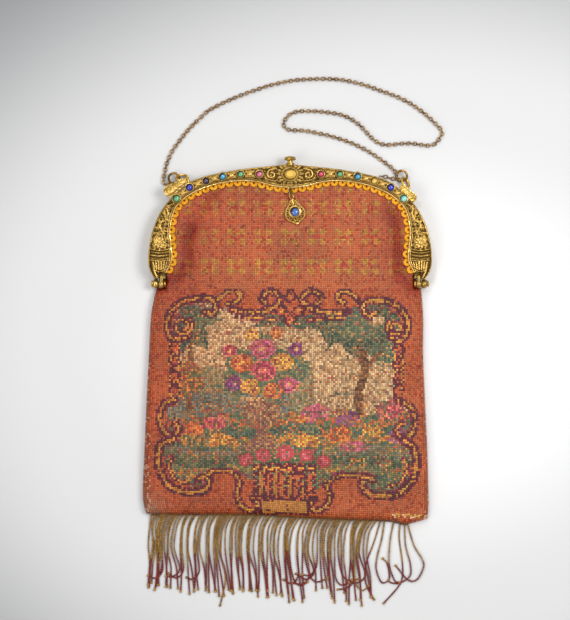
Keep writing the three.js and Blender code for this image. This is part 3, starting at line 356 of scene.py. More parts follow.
def cloth_grid(name, level, flip):
    bpy.ops.mesh.primitive_grid_add(x_subdivisions=columns, y_subdivisions=rows_of_beads, size=1)
    cloth = bpy.context.object
    cloth.name = name
    z = SEAM_LEVEL + (level - SEAM_LEVEL) * swell
    z = np.where((np.abs(flat_x) > 83.1) & (flat_y > 37.4), np.clip(z, 1.6, 3.0), z)
    points = np.stack([flat_x + jog[:, 0], flat_y + jog[:, 1], z], axis=1) * MM
    cloth.data.vertices.foreach_set("co", points.astype(np.float32).ravel())
    quarter = np.where(cell_row < rows_of_beads // 2, 1, 0) + (2 if flip else 0)
    cell_layer = cloth.data.attributes.new("cell", "INT", "FACE")
    cell_layer.data.foreach_set("value", (cells + (len(cells) if flip else 0)).astype(np.int32))
    for material in quarter_marks:
        cloth.data.materials.append(material)
    cloth.data.polygons.foreach_set("material_index", quarter.astype(np.int32))
    cloth.data.polygons.foreach_set("select", ~kept)
    cloth.data.update()
    bpy.context.tool_settings.mesh_select_mode = (False, False, True)
    bpy.ops.object.mode_set(mode="EDIT")
    bpy.ops.mesh.delete(type="FACE")
    if flip:
        bpy.ops.mesh.select_all(action="SELECT")
        bpy.ops.mesh.flip_normals()
    bpy.ops.object.mode_set(mode="OBJECT")
    bpy.ops.object.select_all(action="DESELECT")
    return cloth


def points_of(mesh):
    points = np.zeros(len(mesh.vertices) * 3, np.float32)
    mesh.vertices.foreach_get("co", points)
    return points.reshape(-1, 3)


def join(objects, name):
    bpy.ops.object.select_all(action="DESELECT")
    for obj in objects:
        obj.select_set(True)
    bpy.context.view_layer.objects.active = objects[0]
    if len(objects) > 1:
        bpy.ops.object.join()
    joined = bpy.context.object
    joined.name = name
    joined.data.name = name
    bpy.ops.object.select_all(action="DESELECT")
    return joined


def take_up(obj):
    # Selects one piece alone and makes it the active one.
    bpy.ops.object.select_all(action="DESELECT")
    obj.select_set(True)
    bpy.context.view_layer.objects.active = obj


def edit(obj, selected=None):
    # Opens a piece for editing with these faces selected, or all of it.
    take_up(obj)
    bpy.context.tool_settings.mesh_select_mode = (False, False, True)
    if selected is not None:
        obj.data.vertices.foreach_set("select", np.zeros(len(obj.data.vertices), bool))
        obj.data.edges.foreach_set("select", np.zeros(len(obj.data.edges), bool))
        obj.data.polygons.foreach_set("select", selected)
    bpy.ops.object.mode_set(mode="EDIT")
    if selected is None:
        bpy.ops.mesh.select_all(action="SELECT")


def leave_edit():
    bpy.ops.object.mode_set(mode="OBJECT")
    bpy.ops.object.select_all(action="DESELECT")


front = cloth_grid("front_cloth", front_level(flat_x, flat_y) - BEAD_RISE, False)
back = cloth_grid("back_cloth", back_level(flat_x, flat_y) + BEAD_RISE, True)
bag = join([front, back], "bag")
edit(bag)
bpy.ops.mesh.remove_doubles(threshold=0.00002)
leave_edit()
outer_faces = len(bag.data.polygons)
take_up(bag)
wall = bag.modifiers.new("cloth wall", "SOLIDIFY")
wall.thickness = CLOTH_WALL * MM
wall.offset = -1
bpy.ops.object.modifier_apply(modifier=wall.name)
edit(bag, np.arange(len(bag.data.polygons)) < outer_faces)
bpy.ops.mesh.inset(thickness=BEAD_GAP * MM, depth=BEAD_RISE * MM, use_individual=True, use_even_offset=False)
leave_edit()


# The bead chart. Places are in beads, counted across from the middle and up from the origin, and
# each bead is one flat colour of glass. The picture is a garden with a flower urn, in the scroll
# frame that such bags have.
def beads_of(colour):
    return np.array(linear(colour))


bead_x = np.concatenate([middle_x, middle_x]) / BEAD
bead_y = np.concatenate([middle_y, middle_y]) / BEAD
is_front = np.arange(2 * len(cells)) < len(cells)
chance = np.random.default_rng(7).random((6, len(bead_x)))
chart = np.zeros((len(bead_x), 3))


def paint(where, colour, share=1.0, draw=0):
    chosen = where & (chance[draw] < share)
    chart[chosen] = beads_of(colour)
    return chosen


def from_line(points, spans=6):
    # How far each bead of the front lies from a line, in beads.
    return np.where(is_front, off_line(points, bead_x, bead_y, spans), 1e9)


def oval(x, y, wide, tall):
    # 1 on the edge of an oval, less inside it.
    return np.where(is_front, np.hypot((bead_x - x) / wide, (bead_y - y) / tall), 1e9)


GROUND, GROUND_PINK, GROUND_RED = "#bb6236", "#c0744c", "#a54524"
MAROON, MAROON_LIGHT, GOLD, GOLD_DARK = "#5d2430", "#84394a", "#cf9840", "#a87434"

chart[:] = beads_of(GROUND)
paint(bead_y > 28, GROUND_PINK, 0.5, 0)
paint(bead_y <= 28, GROUND_PINK, 0.12, 0)
paint(bead_y > 28, GROUND_RED, 0.14, 1)
paint(bead_y <= 28, GROUND_RED, 0.2, 1)

# Gold diaper of the upper bag: four small blocks round a red bud
pitch_x, pitch_y = 13.4, 14.4
for row_y in (68.6, 54.0, 39.4):
    for k in range(-5, 6):
        centre = k * pitch_x
        for dx in (-2.95, 2.95):
            for dy in (-2.4, 2.4):
                spot = oval(centre + dx, row_y + dy, 1.85, 1.65) < 1
                paint(spot, "#bd8f3c", 0.82, 2)
        paint(oval(centre, row_y, 1.6, 1.5) < 1, "#b5452f", 0.5, 3)
        paint(np.abs(oval(centre, row_y, 2.0, 1.8) - 1) < 0.25, "#bd8f3c", 0.3, 4)
for k in range(-5, 6):
    for dx in (-2.95, 2.95):
        paint(oval(k * pitch_x + dx, 77.6, 1.85, 1.65) < 1, "#bd8f3c", 0.7, 2)

# The picture's field
field = [(-60, 8), (-55, 20), (-42, 22), (-38, 20), (-30, 18.5), (-14, 16), (0, 14), (14, 16), (30, 18.5),
         (37, 20), (50, 20), (57, 10), (54.5, 2), (54.5, -27), (60, -34), (60, -45), (61, -58), (58, -68),
         (52, -73), (42, -73), (36, -69), (34, -65), (22, -65), (14, -72), (-14, -72), (-22, -66),
         (-28, -63.5), (-40, -63.5), (-41, -69), (-50, -71), (-60, -66), (-63.5, -55), (-61, -45),
         (-62.5, -38), (-61.5, -31), (-57.5, -27), (-57.5, 2)]
in_field = is_front & inside_line(np.array(field), bead_x, bead_y)
drift = value_noise(bead_x, bead_y, 7, 31) + 0.5 * value_noise(bead_x, bead_y, 3, 32)
fine = value_noise(bead_x, bead_y * 1.6, 2.2, 33)


def patch(where, colours):
    # Fills part of the picture with beads of several colours, mixed as drifts and single beads.
    where = where & in_field
    pick = (chance[5] * 0.75 + 0.25 * (fine * 0.5 + 0.5)) * len(colours)
    for k, colour in enumerate(colours):
        chosen = where & (np.floor(pick) == k)
        chart[chosen] = beads_of(colour)


SKY = ["#b59a72", "#c4ab82", "#94795a", "#ab8d64", "#cbb48c", "#8a7f68"]
LEAF_DARK = ["#3a4c40", "#4a5a4a", "#2f4238", "#5f6a52", "#7a6f4c", "#86694a"]
LEAF_MID = ["#66704f", "#566a52", "#7b7a55", "#4a5f50", "#8c7c54"]
patch(in_field, SKY)
# Far hills and a lake on the left
patch((bead_y < -14 + 3 * np.sin(bead_x / 9)) & (bead_x < 12),
      ["#7d7a60", "#8d8a68", "#6d7058", "#a8895c", "#96703f"])
patch((bead_y < -24) & (bead_x < 0), ["#66736f", "#7f8478", "#8c7f60", "#5d6a66", "#a0764a"])
# A tall tree over the right half, its crown reaching along the top
crown = (oval(35, 7, 21, 14) < 1 + 0.32 * drift) | (oval(8, 15, 30, 6.5) < 1 + 0.3 * drift)
patch(crown, LEAF_DARK)
patch((oval(34, 9, 16, 7) < 0.9 + 0.3 * fine) | (oval(46, -4, 9, 7) < 0.8 + 0.4 * fine), LEAF_MID)
patch(oval(24, -2, 5, 3.5) < 0.9 + 0.4 * drift, SKY)
patch(oval(44, 12, 6, 3) < 0.8 + 0.4 * drift, SKY)
patch(from_line([(36, -4), (37, -14), (34, -26), (36, -40)]) < 2.1, ["#6b4a30", "#84603a", "#4e3828"])
patch(from_line([(37, -12), (45, -4)]) < 1.1, ["#6b4a30", "#84603a"])
# A young tree and a climbing rose at the left edge
patch(oval(-50, 8, 10, 11) < 1 + 0.35 * drift, LEAF_DARK)
patch(oval(-44, 14, 11, 5) < 0.9 + 0.4 * fine, LEAF_MID)
patch(from_line([(-50, 0), (-49, -16), (-51, -34)]) < 1.3, ["#6b4a30", "#8a6a3c"])
patch(oval(-50, -17, 8, 11) < 0.85 + 0.4 * drift, ["#b4683a", "#a34f35", "#c58a3c", "#5d6a48", "#8c5a48"])
# Meadow in rows of colour
meadow = bead_y < -35 + 1.5 * np.sin(bead_x / 6.5)
patch(meadow, LEAF_MID)
for step, (level, colours) in enumerate([
        (-38, ["#c07b3c", "#b5603a", "#8e6a45"]), (-43, ["#4f6350", "#5b7360", "#3f5345"]),
        (-48, ["#c3923f", "#b87b3a", "#7a7350"]), (-53, ["#6b7872", "#8a6a48", "#7d8070"]),
        (-58, ["#4c5a45", "#3f4f40", "#66704f"]), (-63, ["#b08a44", "#6d7350", "#8f7a48"])]):
    wave = level + 1.3 * np.sin(bead_x / 8 + step) + 1.6 * fine
    patch(meadow & (np.abs(bead_y - wave) < 1.7) & (chance[4] < 0.8), colours)
# The stone urn with its tall bouquet, left of the middle
urn = (oval(-14, -33, 9.5, 8) < 1) & (bead_y < -27)
patch(urn, ["#a8805e", "#8f6a4e", "#b8976c", "#80594e", "#96604e"])
patch((np.abs(bead_x + 14) < 3 + (bead_y + 42) ** 2 / 12) & (bead_y < -38) & (bead_y > -50),
      ["#a07a5a", "#7d5850"])
patch((np.abs(bead_x + 14) < 11) & (np.abs(bead_y + 27) < 1.3), ["#b8976c", "#c4a878", "#8f6a4e"])
patch((np.abs(bead_x + 14) < 9) & (np.abs(bead_y + 50.5) < 1.8), ["#a07a5a", "#735048", "#b08c64"])
patch(oval(-14, -12, 21, 15) < 1 + 0.3 * drift, LEAF_MID)
bouquet = [
    (-14, -2, 6.5, 5.0, "pink"), (-24, -9, 5.5, 4.4, "orange"), (-4, -9, 5.8, 4.6, "yellow"),
    (-13, -13, 6.5, 5.0, "rose"), (-28, -19, 4.8, 3.8, "purple"), (-1, -20, 5.4, 4.0, "pink"),
    (-20, -21, 5.2, 4.0, "yellow"), (-9, -23, 5.0, 3.8, "orange"), (-30, -3, 3.8, 3.2, "rose"),
    (3, -2, 3.8, 3.2, "purple"), (-19, 5, 3.6, 3.0, "yellow"), (-7, 6, 3.4, 2.8, "orange"),
]
PETALS = {
    "pink": ["#b65f79", "#c9758c", "#a04c68", "#bb6a62"],
    "rose": ["#b04c58", "#c2606a", "#93394c", "#c98068"],
    "orange": ["#c0703a", "#b55a34", "#d08a48", "#9a4a30"],
    "yellow": ["#c79a43", "#b5873a", "#d7b05a", "#b07038"],
    "purple": ["#7d4a78", "#93598a", "#663a62", "#8f5a60"],
}
for x, y, wide, tall, kind in bouquet:
    patch(oval(x, y, wide, tall) < 1 + 0.15 * fine, PETALS[kind])
    patch(np.abs(oval(x, y, wide * 0.6, tall * 0.6) - 1) < 0.16, [PETALS[kind][2], MAROON_LIGHT])
    patch(oval(x, y, wide * 0.24, tall * 0.24) < 1, ["#d7b05a", PETALS[kind][1]])
# Beds of flowers to the right of the urn and a low hedge of roses
for x, y, wide, tall, kind in [(14, -34, 9, 5.5, "pink"), (28, -37, 9, 5, "purple"), (48, -32, 7, 6, "rose"),
                               (22, -44, 10, 4.5, "orange"), (42, -43, 9, 4.5, "yellow"),
                               (-38, -38, 8, 4.5, "rose"), (-50, -42, 7, 4, "orange"),
                               (-34, -47, 8, 3.5, "yellow"), (8, -48, 9, 3.6, "yellow"),
                               (53, -45, 6, 4, "purple"), (34, -51, 9, 3, "pink")]:
    lump = oval(x, y, wide, tall) < 0.85 + 0.35 * drift
    patch(lump, PETALS[kind] + ["#5d6a48"])
# Odd beads of other colours, in short level streaks low down, as a worked picture has
streak = value_noise(bead_x * 0.3, bead_y * 1.3, 1.6, 35)
patch((chance[2] < 0.16) & (streak > -0.1),
      ["#a5643c", "#8e5a3e", "#b98544", "#6d5a48", "#a0524a", "#c09a6a"])
patch((streak > 0.5) & (bead_y < -30) & (chance[4] < 0.55), ["#b5703a", "#a8553a", "#c08f3f", "#7a5a48"])
patch((streak < -0.55) & (bead_y < -20) & (chance[4] < 0.4), ["#4f5a48", "#6b6a58", "#82503f"])
# Shade along the picture's edge where the scrolls lie
edge_off, _ = distances(evenly(np.array(field + field[:1], float), np.linspace(0, 1, 500)), bead_x, bead_y)
patch((edge_off < 2.2) & (chance[3] < 0.35), [MAROON_LIGHT, "#7a5a3c"])


def scroll(points, wide=2.15, gold=0.66, spans=8):
    off = from_line(points, spans)
    paint(off < wide, MAROON, 0.86, 1)
    paint((off < wide) & (off > wide - 0.7), MAROON_LIGHT, 0.3, 2)
    paint(off < gold, GOLD, 0.76, 3)
    paint(off < gold, GOLD_DARK, 0.22, 4)


def spiral(x, y, size, start, turns, way):
    angles = np.linspace(0, turns * 2 * math.pi, 12)
    return [(x + way * size * (1 - 0.62 * k / 11) * math.cos(start + a),
             y + size * (1 - 0.62 * k / 11) * math.sin(start + a)) for k, a in enumerate(angles)]


# The scroll frame, clockwise from the top left
scroll([(-50.5, 5), (-55, 3.2), (-60, 4.2), (-61.2, 12), (-58, 18.2), (-51.5, 22.3), (-41.5, 23.4),
        (-37, 20.5), (-38.5, 15.8), (-42.5, 16.5)])
scroll(spiral(-53.5, 9.5, 5.0, 2.4, 1.35, -1), 1.5, 0.6)
scroll([(-36, 22.5), (-31, 26.5), (-24.5, 25.5), (-27, 21.5), (-31, 20.5)], 1.7, 0.75)
scroll([(-29, 17.5), (-20, 16.2), (-12, 17), (-5.8, 20.5), (-6, 25), (-10.4, 26.8), (-14, 23.8),
        (-12.2, 20.6)])
scroll([(-27, 14.2), (-15, 13.4), (-8, 12.5)], 1.2, 0.4)
scroll([(50.5, 4), (54, 2.2), (57.8, 4.5), (58.8, 11), (56.2, 16.7), (49.6, 21.4), (38.4, 21.8),
        (36.8, 17.2), (39.5, 14.5), (42.5, 16)])
scroll(spiral(52.5, 8.6, 4.2, 2.4, 1.2, 1), 1.4, 0.55)
scroll([(35, 21.5), (31, 25.5), (25, 26.5), (23.5, 23), (27, 21)], 1.7, 0.75)
scroll([(29, 16.5), (20, 16), (12.5, 17.5), (6.8, 21), (7, 25.2), (11.6, 26.8), (15.5, 23.6), (13.4, 20.6)])
scroll([(27, 13.6), (16, 13), (9, 12.3)], 1.2, 0.4)
# Crest over the middle
for x, y, wide, tall in [(0, 24.5, 3.4, 3.6), (-4.2, 17, 3.4, 3), (4.2, 17, 3.4, 3), (0, 12.5, 3.2, 3.2)]:
    paint(oval(x, y, wide, tall) < 1, MAROON, 0.75, 1)
    paint(oval(x, y, wide * 0.62, tall * 0.62) < 1, "#b5573a", 0.8, 2)
    paint(oval(x, y, wide * 0.3, tall * 0.3) < 1, GOLD, 0.8, 3)
# Chains of ovals down the sides
for side_x, low, high in [(-57.6, -26, 2), (54.2, -27, 1)]:
    for k in range(4):
        y = low + (high - low) * (k + 0.5) / 4
        link = oval(side_x, y, 2.8, 3.9)
        paint(link < 1.12, MAROON, 0.9, 1)
        paint(np.abs(link - 0.86) < 0.2, GOLD, 0.38, 2)
        paint(link < 0.6, GROUND, 0.8, 3)
        paint(link < 0.6, MAROON_LIGHT, 0.25, 4)
        paint(oval(side_x, y + 3.9, 1.2, 1.0) < 1, GOLD, 0.6, 2)
# Lower scrolls
scroll([(-57, -27), (-62.6, -29.5), (-65, -36), (-63.5, -42.5), (-58.5, -45.5), (-55.5, -42), (-57.5, -38.5)])
scroll([(-58, -47), (-64, -49.5), (-66, -57), (-64, -65), (-60, -70.5), (-52.5, -73.4), (-44.5, -73),
        (-40.5, -69.8), (-41.5, -66), (-45.5, -66.5)], 2.5, 0.72)
scroll([(-58.5, -56), (-60.5, -61), (-57, -67), (-51, -69)], 1.2, 0.45)
scroll([(-41, -64.5), (-38, -63), (-29.5, -63.2), (-26, -66.5), (-25.5, -71)], 1.7, 0.6)
scroll([(-25, -69), (-26.5, -75), (-23.5, -81), (-18.5, -82.8), (-15.8, -79.5), (-18.5, -76.5)], 2.0, 0.6)
scroll([(54, -28), (59.6, -30.5), (62.4, -37), (61, -44), (56, -46.5), (53, -43), (55, -39)])
scroll([(57, -47.5), (61.5, -51), (63, -59), (61, -67.5), (54.5, -74), (47, -75.4), (40, -74.4),
        (36, -70.5), (37.5, -66.5), (41.5, -67)], 2.5, 0.72)
scroll([(57, -57), (58.5, -62), (55, -68.5), (49, -71)], 1.2, 0.45)
scroll([(37, -66), (33, -65), (24, -65.6), (20, -68.4), (18.5, -73)], 1.7, 0.6)
scroll([(18, -70), (20, -75), (17.5, -81), (12.5, -82.8), (9.8, -79.5), (12.5, -76.5)], 2.0, 0.6)
# Plinth with staves under a garland, and the gold panel at the hem
plinth = (np.abs(bead_x + 2.5) < 16) & (np.abs(bead_y + 68.5) < 9.5) & is_front
paint(plinth, MAROON, 0.82, 1)
paint(plinth, GROUND, 0.16, 2)
for k in range(8):
    stave = (np.abs(bead_x + 14.5 - k * 3.5) < 0.85) & (np.abs(bead_y + 70) < 5.4) & is_front
    paint(stave, "#b8633c" if k % 2 else GOLD_DARK, 0.86, 3)
paint((np.abs(bead_y + 61.5) < 0.8) & (np.abs(bead_x + 2.5) < 15.5) & is_front, GOLD, 0.55, 2)
for wide, tall, colour, share, draw in [(12.6, 4, MAROON, 0.8, 1), (11.4, 3, "#b9813d", 0.96, 2)]:
    panel = (np.abs(bead_x + 2.8) < wide) & (np.abs(bead_y + 80.8) < tall) & is_front
    paint(panel, colour, share, draw)
for x, y, size in [(-22, -57, 3.6), (-13.5, -55, 3.7), (-2.5, -54, 4.4), (8.5, -55, 3.7), (17, -58, 3.4)]:
    paint(oval(x, y, size * 1.15, size * 0.95) < 1, "#a94a4c", 0.9, 2)
    paint(oval(x, y, size * 0.7, size * 0.6) < 1, "#c06470", 0.6, 3)
    paint(np.abs(oval(x, y, size * 1.2, size) - 1) < 0.12, "#5d6a48", 0.5, 4)

# The back is plain, with the same gold diaper all over
back_beads = ~is_front
for k in range(-5, 6):
    for level in np.arange(-70, 84, pitch_y):
        for dx in (-2.95, 2.95):
            for dy in (-2.4, 2.4):
                spot = (np.abs(bead_x - k * pitch_x - dx) < 1.5) & (np.abs(bead_y - level - dy) < 1.4)
                chart[spot & back_beads & (chance[2] < 0.8)] = beads_of("#bd8f3c")

# Age: each bead is a little lighter or darker, worn grey-brown in the lower left corner, a frayed
# strip at the lower right; the beads are darker towards the left and at the side seams, and painted shade
# darkens and reddens them along the folds
tint = 0.76 + 0.54 * chance[0] + 0.09 * value_noise(bead_x, bead_y, 16, 41) + 0.05 * drift
tint *= 1 + 0.05 * np.sin(np.round(bead_x) * 2.4) + 0.04 * value_noise(bead_x, bead_y * 0.06, 1.1, 44)
tint *= 0.95 + 0.06 * soft_step((bead_x + 70) / 50)
tint = np.where(in_field, tint * (0.8 + 0.4 * chance[1]), tint)
chart *= tint[:, None]
chart[in_field] *= np.array([1.06, 0.92, 0.8])
chart[~in_field] *= np.array([0.86, 0.78, 0.68])
redder = (0.6 * soft_step((10 - bead_x) / 70))[:, None]
chart *= 1 - redder * np.array([0.05, 0.24, 0.3])
# Painted shade in the creases: beads along the first four folds are darkened, least in red.
for points, deep, reach in FOLDS[:4]:
    bead_line = [(px / BEAD, py / BEAD) for px, py in points]
    dark = np.exp(-((from_line(bead_line) * BEAD / (reach * 1.5)) ** 2)) * deep / 2
    chart *= 1 - dark[:, None] * np.array([0.3, 0.62, 0.68])
# Patches of redder beads under the shoulders, by the arms and below the mouth, in millimetres
REDDER_PATCHES = [(-58, 84, 26, 18), (-72, 42, 12, 22), (62, 74, 20, 24), (74, 44, 9, 22),
                  (-20, 92, 14, 16), (24, 90, 12, 14)]
for x, y, wide, tall in REDDER_PATCHES:
    glow = np.exp(-np.hypot((bead_x * BEAD - x) / wide, (bead_y * BEAD - y) / tall) ** 2) * (chance[3] < 0.75)
    chart *= 1 - 0.4 * (glow * is_front)[:, None] * np.array([0.12, 0.6, 0.7])
corner_wear = np.exp(-np.hypot((bead_x + 72) / 9, (bead_y + 84) / 8) ** 2)
chart += (beads_of("#8f7a62") - chart) * (0.75 * corner_wear * (chance[1] < 0.8))[:, None]
frayed = is_front & (np.abs(bead_x - 60) < 9) & (np.abs(bead_y + 85.5 + 0.04 * (bead_x - 60)) < 1.1)
paint(frayed, "#d9b487", 0.6, 2)
paint(frayed, GOLD, 0.25, 3)
side_edge = (np.minimum(np.abs(bead_x + 71.5), np.abs(bead_x - 69)) < 1.6) & (bead_y < 24)
chart[side_edge] *= 0.8
paint(side_edge & is_front, "#c08a6a", 0.2, 4)

mesh = bag.data
cell_of = np.zeros(len(mesh.polygons), np.int32)
mesh.attributes["cell"].data.foreach_get("value", cell_of)
loop_total = np.zeros(len(mesh.polygons), np.int32)
mesh.polygons.foreach_get("loop_total", loop_total)
loop_vertex = np.zeros(len(mesh.loops), np.int32)
mesh.loops.foreach_get("vertex_index", loop_vertex)
raised = np.zeros(len(mesh.vertices), bool)
picked = np.zeros(len(mesh.polygons), bool)
mesh.polygons.foreach_get("select", picked)
loop_picked = np.repeat(picked, loop_total)
raised[loop_vertex[loop_picked]] = True
loop_colour = chart[np.repeat(cell_of, loop_total)]
# Painted shade: the sunk sides of each bead take its colour darkened, standing for thread and for shade
# between the beads.
thread_and_painted_shade = loop_colour * np.array([0.42, 0.3, 0.3]) + np.array([0.01, 0.003, 0.002])
loop_colour = np.where(raised[loop_vertex][:, None], loop_colour, thread_and_painted_shade)
glass = mesh.color_attributes.new("bead_colour", "FLOAT_COLOR", "CORNER")
with_alpha = np.column_stack([loop_colour, np.ones(len(loop_colour))])
glass.data.foreach_set("color", with_alpha.astype(np.float32).ravel())

# Glass seed beads, moulded and dulled by handling: a soft gloss on each bead, thread between them
# with painted shade darkening the sunk sides of the beads, and soil in patches about 22 mm across
beadwork, tree, surface = new_material("glass seed beads on thread")
colour = add_node(tree, "ShaderNodeVertexColor", layer_name="bead_colour")
place = add_node(tree, "ShaderNodeTexCoord")
grime = noise(tree, place, 45.0, 5.0)
soil = add_node(tree, "ShaderNodeMapRange", {"Value": grime.outputs["Fac"], "From Min": 0.35,
                                             "From Max": 0.7, "To Min": 0.86, "To Max": 1.08})
soiled = add_node(tree, "ShaderNodeVectorMath", {0: colour.outputs["Color"], 1: soil.outputs["Result"]},
                  operation="MULTIPLY")
gloss = add_node(tree, "ShaderNodeMapRange", {"Value": grime.outputs["Fac"], "To Min": 0.34, "To Max": 0.55})
set_inputs(tree, surface, {"Base Color": soiled.outputs["Vector"], "Roughness": gloss.outputs["Result"],
                           "IOR": 1.5, "Specular IOR Level": 0.3})

take_up(bag)
bpy.ops.object.mode_set(mode="EDIT")
bpy.ops.mesh.separate(type="MATERIAL")
bpy.ops.object.mode_set(mode="OBJECT")
sheets = [o for o in bpy.context.selected_objects if o.type == "MESH"]
bpy.ops.object.select_all(action="DESELECT")
for sheet in sheets:
    points = points_of(sheet.data)
    face = "front" if points[:, 2].mean() > 4.5 * MM else "back"
    level = "upper" if points[:, 1].mean() > 0 else "lower"
    sheet.name = f"beadwork_{face}_{level}"
    sheet.data.name = sheet.name
    sheet.data.materials.clear()
    sheet.data.materials.append(beadwork)
    sheet.data.polygons.foreach_set("material_index", np.zeros(len(sheet.data.polygons), np.int32))
    sheet.data.polygons.foreach_set("use_smooth", np.ones(len(sheet.data.polygons), bool))
    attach(sheet, "purse")
    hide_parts("bag_body")
for material in quarter_marks:
    bpy.data.materials.remove(material)


# The fringe: strands of small beads strung on thread, hung from the hem 2 mm apart. They fall
# slantwise to the lower left, bronze above and dark red below, each with a larger end bead.
FRINGE_LONG = 60.0
STRAND_PITCH = 2.05
STRAND_BEAD = 1.16
# Head as a share of the half width, then middle, tip and reach as shares of the fringe's length
LOCKS = [
    (-0.97, -0.03, -0.03, 0.81), (-0.9, -0.07, -0.1, 0.84), (-0.843, -0.09, -0.07, 0.88),
    (-0.807, -0.09, -0.06, 0.88), (-0.765, -0.02, -0.03, 0.89), (-0.722, -0.07, -0.05, 0.92),
    (-0.68, -0.07, -0.05, 0.91), (-0.637, -0.05, -0.03, 0.91), (-0.595, -0.06, -0.05, 0.91),
    (-0.552, -0.05, -0.01, 0.88), (-0.51, -0.06, -0.03, 0.88), (-0.467, -0.07, -0.05, 0.99),
    (-0.425, -0.09, -0.02, 0.9), (-0.375, -0.09, -0.06, 0.9), (-0.319, -0.07, -0.07, 0.87),
    (-0.269, -0.09, -0.07, 0.91), (-0.212, -0.11, -0.03, 0.91), (-0.156, -0.06, -0.06, 0.92),
    (-0.099, -0.09, -0.07, 0.91), (-0.042, -0.09, -0.06, 0.93), (0.014, -0.08, -0.03, 0.96),
    (0.071, -0.09, -0.05, 0.97), (0.127, -0.08, -0.06, 0.97), (0.184, -0.1, -0.09, 0.93),
    (0.241, -0.07, -0.07, 0.82), (0.29, -0.06, -0.07, 0.78), (0.34, -0.08, -0.05, 0.95),
    (0.42, -0.05, -0.04, 0.86), (0.446, -0.02, -0.02, 0.93), (0.496, -0.07, -0.03, 0.98),
    (0.545, -0.09, -0.08, 0.97), (0.595, -0.11, -0.09, 0.9), (0.651, -0.09, -0.1, 0.97),
]
# Strands that curl, at the lower right corner and the far left, in millimetres from their heads
CURLS = [
    (-86.0, [(-92.5, -118), (-93.3, -128), (-92, -135), (-95, -150), (-95.5, -164)]),
    (-84.0, [(-90, -126), (-89.2, -135), (-86.6, -148), (-91.8, -166)]),
    (31.6, [(26.6, -132.6), (26.6, -145), (25.6, -157.6)]),
    (61.5, [(56.6, -134.4), (51.6, -148), (51, -159), (53, -165.6), (57, -172.5)]),
    (64.0, [(62.2, -131), (59.1, -143.2), (58.4, -152), (62.2, -160.9), (67.2, -158.4), (65.9, -148.4),
            (62.8, -144.6)]),
    (70.3, [(67.8, -132.7), (67.2, -148.4), (70.9, -159.6), (74, -160.9)]),
    (74.6, [(74, -131), (76.2, -148.4), (75.9, -158.4), (72.8, -164.6), (63.5, -175)]),
    (77.6, [(78.3, -135.7), (81.5, -148.4), (81.2, -156.5), (74.6, -161.3), (69, -161.3), (66.5, -159.6)]),
    (79.6, [(84, -135.7), (89.6, -145.1), (90.3, -150.9), (85.9, -159), (79.7, -159), (71.6, -149.5)]),
]
# One strand hangs lower than the rest, and it and another are bronze to the end
LONG_STRAND, LONG_STRAND_END = 27, (-47.3, -176.4)
BRONZE_STRANDS = (27, 71)
strand_draw = np.random.default_rng(11)


def hem_at(x):
    return np.interp(x, hem_line[:, 0], hem_line[:, 1])


def many(model, matrices, name):
    # One mesh with a copy of a small model at each place; the model itself goes.
    mesh = model.data
    points = np.column_stack([points_of(mesh), np.ones(len(mesh.vertices))])
    faces = [tuple(f.vertices) for f in mesh.polygons]
    placed = np.concatenate([points @ np.array(m)[:3].T for m in matrices])
    count = len(mesh.vertices)
    rings = [tuple(v + k * count for v in f) for k in range(len(matrices)) for f in faces]
    made = bpy.data.meshes.new(name)
    made.from_pydata(placed.tolist(), [], rings)
    obj = bpy.data.objects.new(name, made)
    bpy.context.scene.collection.objects.link(obj)
    bpy.data.objects.remove(model)
    return obj


def shift(x, y, z):
    return Matrix.Translation((x * MM, y * MM, z * MM))


def turn_by(degrees, axis):
    return Matrix.Rotation(math.radians(degrees), 4, axis)


def smooth_all(obj, angle=None):
    take_up(obj)
    if angle is None:
        bpy.ops.object.shade_smooth()
    else:
        bpy.ops.object.shade_smooth_by_angle(angle=math.radians(angle))
    bpy.ops.object.select_all(action="DESELECT")


def apply_place(obj):
    take_up(obj)
    bpy.ops.object.transform_apply(location=True, rotation=True, scale=True)
    bpy.ops.object.select_all(action="DESELECT")


strands = []
locks = np.array(LOCKS)
head = -93.5
while head < 60.0:
    share = head / FRAME_HALF
    mid, tip, reach = (np.interp(share, locks[:, 0], locks[:, k]) for k in (1, 2, 3))
    # Strands lie nearly even, drawn a little towards the locks they fell in
    mid = 0.4 * mid - 0.045 + strand_draw.uniform(-0.02, 0.02)
    tip = 0.5 * tip - 0.03 + strand_draw.uniform(-0.035, 0.035)
    reach *= strand_draw.uniform(0.93, 1.02)
    if len(strands) == LONG_STRAND:
        reach = 1.02
    top = hem_at(head) - 0.3
    low = reach * FRINGE_LONG
    bend = strand_draw.uniform(-0.012, 0.012) * FRINGE_LONG
    sweep = mid * FRINGE_LONG * 1.2 * (0.3 + 0.7 * soft_step((head + 95) / 20))
    elbow = head + 0.5 * sweep + 0.5 * tip * FRINGE_LONG - bend
    points = [(head, top), (head + 0.42 * sweep, top - 0.055 * low), (head + 0.95 * sweep, top - 0.19 * low),
              (head + 1.1 * sweep + bend, top - 0.45 * low), (elbow, top - 0.72 * low),
              (head + tip * FRINGE_LONG, top - low)]
    if strand_draw.random() < (0.34 if 12 < head < 62 else 0.07):
        # An end that kinks off to one side
        way = strand_draw.choice([-1, 1])
        x, y = points[4]
        points[5:] = [(x + way * 4.5, y - 5.5),
                      (x + way * strand_draw.uniform(8, 13), y - strand_draw.uniform(1, 7))]
    if len(strands) == LONG_STRAND:
        points[-1] = LONG_STRAND_END
    strands.append(points)
    head += STRAND_PITCH * strand_draw.uniform(0.72, 1.2)
for start, points in CURLS:
    strands.append([(start, hem_at(start) - 0.3), *points])

